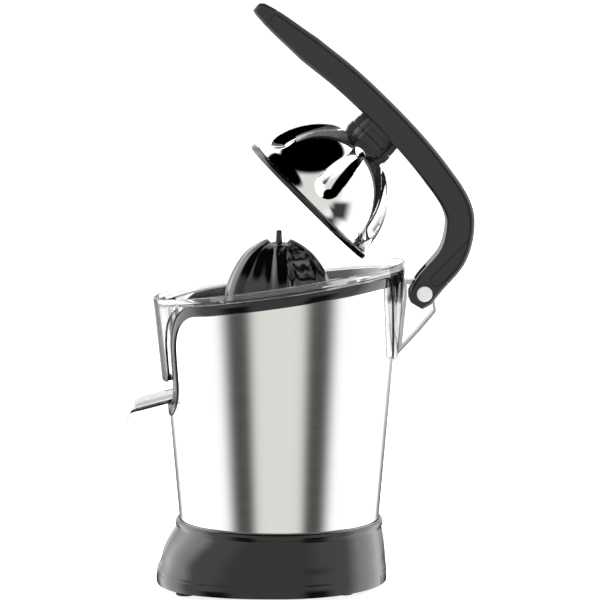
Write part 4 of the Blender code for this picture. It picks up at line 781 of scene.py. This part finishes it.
# ------------------------------------------------------------------ spout
# A clear open trough hangs under the drain on two trunnions, with a lip that turns down. It tips up to stop drips.
SPOUT_WALL = 1.8
SPOUT_BROW, SPOUT_EASE = 0.5, 1.6                # rounding along the top edges and the bottom edges
SPOUT_SMOKE = 260.0                              # its walls are seen more face on, so they are given more smoke
SPOUT_SIDE = [((-59.0, 144.2), (-59.0, 135.3), 0.0), ((-60.8, 143.9), (-60.8, 134.8), 1.0),
              ((-79.3, 139.7), (-78.3, 130.0), 1.0), ((-96.9, 134.9), (-96.2, 125.3), 1.0),
              ((-99.3, 133.9), (-99.6, 124.6), 1.0), ((-101.0, 131.8), (-102.4, 123.8), 1.0),
              ((-102.0, 129.6), (-103.6, 122.6), 1.0), ((-106.4, 119.2), (-107.2, 116.8), 1.0),
              ((-106.8, 117.9), (-107.6, 116.2), 1.0)]
sections = []
for (top_y, top_z), (low_y, low_z), open_share in SPOUT_SIDE:
    top, low = Vector((top_y, top_z)), Vector((low_y, low_z))
    depth = (top - low).length
    floor_share = mix(depth - 0.8, min(SPOUT_WALL, 0.6 * depth), open_share) / depth
    base_line = low.lerp(top, floor_share)
    half, inner = SPOUT_HALF, SPOUT_HALF - SPOUT_WALL
    ease = min(SPOUT_EASE, depth * 0.3)
    near = ease * 0.3
    corner, turn_in = low.lerp(top, ease / depth), low.lerp(top, near / depth)
    well = base_line.lerp(top, 0.12)
    brow = top.lerp(low, SPOUT_BROW / depth)
    ring = [(-half + SPOUT_BROW, top), (-half, brow), (-half, corner), (-half + near, turn_in), (-half + ease, low),
            (half - ease, low), (half - near, turn_in), (half, corner), (half, brow), (half - SPOUT_BROW, top),
            (inner + SPOUT_BROW, top), (inner, brow), (inner, well), (inner - 1.0, base_line),
            (-inner + 1.0, base_line), (-inner, well), (-inner, brow), (-inner - SPOUT_BROW, top)]
    sections.append([(x, p.x, p.y) for x, p in ring])
SMOKY = clear_plastic("clear_san_spout", SPOUT_SMOKE)
spout = loft("spout_finish", sections, SMOKY)
reach = SPOUT_HALF + 2 * CLOSE + EAR_THICK - 0.2
ends = [sorted((side * (SPOUT_HALF - 1), side * reach)) for side in (-1, 1)]
pins = [cross_rod("trunnion", SPOUT_PIN, *pair, *SPOUT_PIVOT, SMOKY, 0.3, 32) for pair in ends]
combine(spout, "UNION", *pins)
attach(spout, "spout")
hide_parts("spout")

# ------------------------------------------------------------------ small reamer
# The small reamer is turned out of gloss black ABS, with a pin at its top that centres the fruit.
PIN_TOP, SHAFT_TOP = 250.7, 214.0
HUB_RADIUS, HUB_BOTTOM, HUB_BORE = 8.0, 181.5, 4.15
hub, bore, low = HUB_RADIUS, HUB_BORE, HUB_BOTTOM
profile = [(0, PIN_TOP), (1.2, PIN_TOP), (1.8, PIN_TOP - 0.3), (2.0, PIN_TOP - 1.0), (2.05, 247.0), (2.3, 243.5),
           (2.7, 241.4), (3.8, 239.9), (6.0, 238.2), (12.0, 232.0), (16.4, 226.6), (20.0, 220.5), (23.0, 213.0),
           (25.0, 205.0), (26.2, 197.0), (26.5, 193.5), (24.5, 193.5), (22.5, 204.0), (18.0, 214.0), (hub, 218.0),
           (hub, low + 0.6), (hub - 0.6, low), (bore + 0.5, low), (bore, low + 0.5), (bore, SHAFT_TOP + 1.0),
           (0, SHAFT_TOP + 1.0)]
small = turned("cone_inner_finish", profile, GLOSS_BLACK, steps=96, sharp=40.0)
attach(small, "cone")
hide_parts("cone_inner")

# ------------------------------------------------------------------ large reamer
# The large reamer is a thin gloss black ABS shell with six square ribs and hollow flutes between them. Its crown is
# cut by a V, so that two ears stand either side of the pin.
REAMER_SIDE = [(42.0, 192.0), (41.9, 196.0), (41.5, 201.0), (40.9, 205.5), (39.8, 209.8), (38.4, 214.2),
               (36.6, 218.5), (34.3, 222.9), (31.6, 227.3), (28.5, 231.3), (25.0, 235.0), (21.2, 238.0),
               (17.0, 240.6), (13.0, 242.7), (9.0, 244.3)]
RIBS, RIB_TURN, RIB_HALF, FLUTE_DEPTH, REAMER_WALL = 6, math.radians(95.0), 2.5, 5.2, 2.0
FLANK = 0.45                                     # share of the way to the next rib that its side takes
REAMER_STEPS, CROWN_CUT = 240, 3.4
slopes = [(z1 - z0) / max(0.1, r0 - r1) for (r0, z0), (r1, z1) in zip(REAMER_SIDE, REAMER_SIDE[1:])] + [0.4]
rings = []
for i in range(REAMER_STEPS):
    angle = 2 * math.pi * i / REAMER_STEPS
    off = (angle - RIB_TURN + math.pi / RIBS) % (2 * math.pi / RIBS) - math.pi / RIBS
    outer, inner = [], []
    for (radius, z), slope in zip(REAMER_SIDE, slopes):
        beyond = abs(off) * radius - RIB_HALF
        span = math.pi / RIBS * radius - RIB_HALF
        share = max(0.0, beyond / span) if span > 0 else 0.0
        flank = smooth(0.0, FLANK, share) * (0.82 + 0.18 * smooth(FLANK, 1.0, share))
        depth = FLUTE_DEPTH * flank * smooth(192.0, 200.0, z) * (1 - 0.8 * smooth(226.0, 243.0, z))
        tip = 1 / math.sqrt(1 + slope * slope)
        outer.append((radius - depth * (1 - 0.5 * tip), z - depth * tip * 0.5))
        inner.append((max(5.0, radius - REAMER_WALL - FLUTE_DEPTH), z - 3.6))
    cut_down = CROWN_CUT * (1 - smooth(0.55, 0.95, abs(math.cos(angle))))
    outer[-1] = (outer[-1][0], outer[-1][1] - cut_down)
    outer[-2] = (outer[-2][0], outer[-2][1] - 0.25 * cut_down)
    crown = [(7.4, 243.4 - cut_down), (6.0, 241.6 - 0.6 * cut_down), (5.6, 238.6)]
    ring = outer + crown + list(reversed(inner[1:-2])) + [(38.2, 192.6), (38.6, 192.0)]
    rings.append([polar(r, angle, z) for r, z in ring])
large = loft("cone_outer_finish", rings, GLOSS_BLACK, around=True, sharp=32.0)
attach(large, "cone")
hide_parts("cone_outer")

# ------------------------------------------------------------------ lever
# The lever is a grained black ABS channel with a thin cover snapped over its back, a chamfered cap on its tip and a
# fork at the hinge. Each flank has a sunk panel by the hinge, with a slot along its back edge.
LEVER_HALF = 17.5
LEVER_SPINE = [(-15.0, 405.8), (21.2, 376.3), (46.8, 355.8), (72.0, 332.1), (93.2, 309.8), (109.7, 289.5),
               (122.9, 269.7), (125.9, 253.8), (120.6, 233.2), (104.3, 213.4), (95.4, 199.1)]
LEVER_DEPTH = [(0.0, 4.7), (0.05, 7.6), (0.1, 9.5), (0.9, 9.58), (0.955, 8.6), (1.0, 4.8)]
LEVER_WALL, COVER_THICK, COVER_GAP = 3.0, 3.0, 0.3
TIP_END, COVER_END, CAVITY_END = 0.035, 0.86, 0.80
FORK_RADIUS, FORK_PLAY = 19.0, 1.0
EASE = 1.5                                       # chamfer along the lever's long edges
PANEL = [(132.4, 246.2), (104.6, 217.8), (105.2, 215.2), (107.8, 212.9), (110.4, 212.8), (123.4, 224.2),
         (128.6, 231.5), (131.4, 239.5)]
PANEL_DEPTH, GROOVE, GROOVE_DEPTH = 0.6, 0.9, 1.5    # the panel, and the line that runs round it
SLOT = [(110.0, 213.3), (111.0, 212.2), (123.9, 223.6), (122.9, 224.7)]
SLOT_DEPTH = 1.6


def table(pairs, x):
    """Read a value between the points of a short list."""
    for (x0, y0), (x1, y1) in zip(pairs, pairs[1:]):
        if x <= x1:
            return mix(y0, y1, (x - x0) / (x1 - x0))
    return pairs[-1][1]


def lever_station(share):
    """The lever's outer and inner edge points and the inward direction at a share of its length."""
    at = spline(LEVER_SPINE, share)
    along = (spline(LEVER_SPINE, min(1, share + 0.01)) - spline(LEVER_SPINE, max(0, share - 0.01))).normalized()
    inward = Vector((along.y, -along.x))
    depth = table(LEVER_DEPTH, share)
    return at - inward * depth, at + inward * depth, inward


def stations(start, end, step=0.008):
    """Even stations from a start to an end."""
    count = max(1, round((end - start) / step))
    return [mix(start, end, i / count) for i in range(count + 1)]


half = LEVER_HALF
inner = half - LEVER_WALL
sections = []
for share, covered in ([(s, COVER_THICK + COVER_GAP) for s in stations(TIP_END, COVER_END)]
                       + [(s, 0.0) for s in stations(COVER_END + 0.0008, 1.0)]):
    outer_edge, inner_edge, inward = lever_station(share)
    top = outer_edge + inward * covered
    room = (inner_edge - top).length
    depth = max(0.5, room - LEVER_WALL) * (1 - smooth(CAVITY_END - 0.04, CAVITY_END, share))
    depth *= smooth(TIP_END, TIP_END + 0.03, share)
    well = top + inward * max(0.4, depth)
    top_ease = 0.0001 if covered else EASE
    low = inner_edge - inward * EASE
    high = top + inward * top_ease
    brow = half - top_ease
    sections.append([(-brow, *top), (-half, *high), (-half, *low), (-half + EASE, *inner_edge),
                     (half - EASE, *inner_edge), (half, *low), (half, *high), (brow, *top),
                     (inner, *top), (inner, *well), (-inner, *well), (-inner, *top)])
lever = loft("lever_shell_finish", sections, SATIN_BLACK, sharp=25.0)
fork_half = BRACKET_HALF + FORK_PLAY
cuts = [cross_rod("fork", FORK_RADIUS, -fork_half, fork_half, *PIVOT, SATIN_BLACK, steps=96),
        cross_rod("pin_bore", PIN_RADIUS + CLOSE, -30, 30, *PIVOT, SATIN_BLACK)]
sunk = [("panel_cut", PANEL, PANEL_DEPTH), ("slot_cut", SLOT, SLOT_DEPTH)]
for a, b in zip(PANEL, PANEL[1:] + PANEL[:1]):
    a, b = Vector(a), Vector(b)
    along = (b - a).normalized() * GROOVE / 2
    off = Vector((-along.y, along.x))
    sunk.append(("groove_cut", [a - along + off, b + along + off, b + along - off, a - along - off], GROOVE_DEPTH))
for side in (-1, 1):
    cuts += [side_plate(name, outline, side * (half - depth), side * (half + 3), SATIN_BLACK)
             for name, outline, depth in sunk]
combine(lever, "DIFFERENCE", *cuts)
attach(lever, "lever")
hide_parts("lever_shell")

sections = []
for share in stations(TIP_END, COVER_END):
    outer_edge, _, inward = lever_station(share)
    low = outer_edge + inward * COVER_THICK
    mid = outer_edge + inward * EASE
    sections.append([(-half + EASE, *outer_edge), (-half, *mid), (-half, *(low - inward * 0.3)), (-half + 0.3, *low),
                     (half - 0.3, *low), (half, *(low - inward * 0.3)), (half, *mid), (half - EASE, *outer_edge)])
cover = loft("lever_cover_finish", sections, SATIN_BLACK, sharp=25.0)
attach(cover, "lever")
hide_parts("lever_top_cover")


def tip_section(share, squeeze, sink=0.3):
    """A chamfered section of the tip, squeezed in all round; sink is how much of that its underside takes."""
    outer_edge, inner_edge, inward = lever_station(share)
    wide = half - squeeze
    top, low = outer_edge + inward * squeeze, inner_edge - inward * sink * squeeze
    high, under = top + inward * EASE, low - inward * EASE
    return [(-wide + EASE, *top), (-wide, *high), (-wide, *under), (-wide + EASE, *low),
            (wide - EASE, *low), (wide, *under), (wide, *high), (wide - EASE, *top)]


shape = [(0.0, 2.6), (0.004, 1.6), (0.012, 0.5), (TIP_END - 0.002, 0.0), (TIP_END - 0.001, 0.2)]
cap = loft("lever_tip_finish", [tip_section(*at) for at in shape], SATIN_BLACK, sharp=25.0)
tongue = loft("tongue", [tip_section(share, 1.0, 1.0) for share in (TIP_END - 0.004, TIP_END + 0.004)], SATIN_BLACK)
combine(cap, "UNION", tongue)
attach(cap, "lever")
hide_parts("lever_tip_cap")

# ------------------------------------------------------------------ hinge pin caps
# A pale grey snap cap closes each end of the hinge pin, flat with an eased edge.
CAP_RADIUS, CAP_HEIGHT, CAP_EASE = 5.35, 1.3, 0.35

# pale grey polyacetal: smooth, slightly waxy
PALE, tree, shader = material_of("pale_grey_acetal", Base_Color=colour("#d6d4d5"), Roughness=0.38)
vary(tree, noise_on(tree, 180.0), 0.32, 0.44, shader.inputs["Roughness"])
for name, side in (("pin_cap_left", -1), ("pin_cap_right", 1)):
    ends = sorted((side * (half + CLOSE), side * (half + CLOSE + CAP_HEIGHT)))
    cap = cross_rod(name + "_finish", CAP_RADIUS, *ends, *PIVOT, PALE, CAP_EASE)
    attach(cap, "lever")
    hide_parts(name)

# ------------------------------------------------------------------ neck
# The dome hangs from the lever by a bayonet: a collar screwed to the lever and a twist ring below it, both grained
# black ABS with four square lugs for the fingers, and a fine seam between them.
DOME_PLACE, DOME_TILT = (20.7, 270.7), -45.0
ON_DOME = Matrix.Translation((0, *DOME_PLACE)) @ Matrix.Rotation(math.radians(DOME_TILT), 4, "X")
NECK_START, NECK_SEAM, NECK_END, NECK_ACROSS = 57.4, 62.0, 69.0, 18.0
LUG_HALF, LUG_EASE, CORE, CORE_STEPS = 7.6, 0.8, 15.6, 5
BOSS_RADIUS, SCREW_RADIUS = 9.0, 2.4


def lugged(height, across, core, half_width):
    """A round core with four square lugs, as one closed line at a height."""
    out = []
    lug_turn = math.asin(half_width / core)
    for quarter in range(4):
        middle = math.pi / 2 * quarter
        foot = math.sqrt(core ** 2 - half_width ** 2)
        local = [(foot, -half_width), (across - LUG_EASE, -half_width), (across, -half_width + LUG_EASE),
                 (across, half_width - LUG_EASE), (across - LUG_EASE, half_width), (foot, half_width)]
        out += [(x * math.cos(middle) - y * math.sin(middle), x * math.sin(middle) + y * math.cos(middle), height)
                for x, y in local]
        sweep = math.pi / 2 - 2 * lug_turn
        for i in range(1, CORE_STEPS):
            a = middle + lug_turn + sweep * i / CORE_STEPS
            out.append((core * math.cos(a), core * math.sin(a), height))
    return out


levels = [(NECK_START - 3.0, 1.2), (NECK_START - 1.6, 0.3), (NECK_START - 1.0, 0.0), (NECK_SEAM - 0.6, 0.0),
          (NECK_SEAM - 0.3, 0.35)]
twist = loft("twist_ring_finish", [lugged(u, NECK_ACROSS - s, CORE - s, LUG_HALF) for u, s in levels], SATIN_BLACK,
             sharp=30.0, place=ON_DOME)
boss = turned("boss", [(0, NECK_END - 4), (BOSS_RADIUS - 0.5, NECK_END - 4), (BOSS_RADIUS, NECK_END - 4.5),
                       (BOSS_RADIUS, NECK_START + 1), (0, NECK_START + 1)], SATIN_BLACK, steps=64, place=ON_DOME)
combine(twist, "UNION", boss)
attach(twist, "dome")
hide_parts("twist_ring")

levels = [(NECK_SEAM - 0.28, 0.9), (NECK_SEAM, 0.9), (NECK_SEAM + 0.02, 0.35), (NECK_SEAM + 0.3, 0.0),
          (NECK_END - 2.2, 0.0), (NECK_END - 2.0, 0.4), (NECK_END + 1.8, 0.4)]
collar = loft("neck_collar_finish", [lugged(u, NECK_ACROSS - 0.6 - s, CORE - s, LUG_HALF) for u, s in levels],
              SATIN_BLACK, sharp=30.0, place=ON_DOME)
bores = [turned("bore", [(0, top), (radius, top), (radius, low), (0, low)], SATIN_BLACK, steps=64, place=ON_DOME)
         for radius, low, top in ((BOSS_RADIUS + CLOSE, NECK_SEAM - 2, NECK_END - 3.6),
                                  (SCREW_RADIUS, NECK_END - 5, NECK_END + 2))]
combine(collar, "DIFFERENCE", *bores)
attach(collar, "lever")
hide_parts("neck_collar")

# ------------------------------------------------------------------ press dome
# The press is a deep-drawn stainless dome, mirror polished, with six teardrop flutes pressed in: narrow at the
# collar and ending in a round scoop near the rim.
DOME_RADIUS, DOME_RISE, DOME_WALL, DOME_MOUTH, DOME_TOP = 51.9, 5.6, 1.2, 53.6, 55.8
DOME_FLUTES = 6
SCOOP_HEIGHT, SCOOP_RADIUS, SCOOP_DEPTH = 18.5, 9.2, 5.0
NARROW_HEIGHT, NARROW_HALF, NARROW_DEPTH = 49.0, 5.0, 2.6
SCOOP_SLANT, NARROW_SLANT = 1.03, 1.9            # length along the dome per millimetre of height
DOME_LOW, DOME_HOLE = 2.6, 7.0                   # the dome's lowest edge in its rim, and the hole for the neck
DOME_STEPS, DOME_LEVELS = 432, 96

# mirror-polished stainless, with the slow waves of a drawn sheet
POLISHED, tree, shader = material_of("mirror_polished_stainless", Base_Color=colour("#f4f4f3"), Metallic=1.0)
vary(tree, noise_on(tree, 90.0, 3.0), 0.025, 0.05, shader.inputs["Roughness"])
relief(tree, noise_on(tree, 30.0, 1.0), 0.01, shader)


def dome_radius(height):
    """Outer radius of the dome at a height above its mouth."""
    ball = math.sqrt(max(0.0, DOME_RADIUS ** 2 - (height - DOME_RISE) ** 2))
    return mix(DOME_MOUTH, ball, smooth(0, 10, height))


def flute_dip(height, off):
    """How deep a flute is at a height and a distance off its middle line, both in millimetres."""
    share = min(1.0, max(0.0, (height - SCOOP_HEIGHT) / (NARROW_HEIGHT - SCOOP_HEIGHT)))
    beyond = max(0.0, (SCOOP_HEIGHT - height) * SCOOP_SLANT, (height - NARROW_HEIGHT) * NARROW_SLANT)
    wide = mix(SCOOP_RADIUS, NARROW_HALF, share)
    deep = mix(SCOOP_DEPTH, NARROW_DEPTH, share)
    return deep * max(0.0, 1 - (math.hypot(off, beyond) / wide) ** 2)


heights = set()
for i in range(DOME_LEVELS + 1):
    lean = math.acos((DOME_LOW - DOME_RISE) / DOME_RADIUS) * (1 - i / DOME_LEVELS)
    height = max(DOME_LOW, DOME_RISE + DOME_RADIUS * math.cos(lean))
    heights.add(round(min(height, DOME_TOP), 4))
heights = sorted(heights)
inner = [(max(DOME_HOLE, dome_radius(h) - DOME_WALL - SCOOP_DEPTH * smooth(4, 18, h)),
          h - DOME_WALL * h / 60 - 2.0 * smooth(30, 55, h)) for h in heights[::8]]
rings = []
for i in range(DOME_STEPS):
    angle = 2 * math.pi * i / DOME_STEPS
    off = (angle - math.pi / 2 + math.pi / DOME_FLUTES) % (2 * math.pi / DOME_FLUTES) - math.pi / DOME_FLUTES
    outer = []
    for height in heights:
        radius = dome_radius(height)
        dip = flute_dip(height, abs(off) * radius)
        up = max(0.0, height - DOME_RISE) / DOME_RADIUS
        outer.append((radius - dip * math.sqrt(max(0.0, 1 - up * up)), height - dip * up))
    top = [(10.0, DOME_TOP + 0.2), (DOME_HOLE, DOME_TOP + 0.4), (DOME_HOLE, DOME_TOP - 2.4)]
    ring = outer + top + list(reversed(inner))
    rings.append([polar(r, angle, z) for r, z in ring])
dome = loft("press_dome_finish", rings, POLISHED, around=True, sharp=40.0, place=ON_DOME)
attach(dome, "dome")
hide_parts("press_dome")

# ------------------------------------------------------------------ dome rim
# A gloss black ring is pressed over the raw edge of the dome, so that it doesn't mark the collector.
RING_RADIUS, RING_HALF = 55.15, 2.0
ring_inside = DOME_MOUTH - DOME_WALL - 1.0
profile = [(RING_RADIUS - 1.0, RING_HALF), (RING_RADIUS - 0.25, RING_HALF - 0.3), (RING_RADIUS, RING_HALF - 1.0),
           (RING_RADIUS, 1.0 - RING_HALF), (RING_RADIUS - 0.3, 0.3 - RING_HALF), (RING_RADIUS - 1.0, -RING_HALF),
           (ring_inside + 0.5, -RING_HALF), (ring_inside, 0.5 - RING_HALF), (ring_inside, RING_HALF - 0.5),
           (ring_inside + 0.5, RING_HALF)]
ring = turned("dome_rim_finish", profile, GLOSS_BLACK, steps=192, place=ON_DOME)
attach(ring, "dome")
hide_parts("dome_rim_ring")
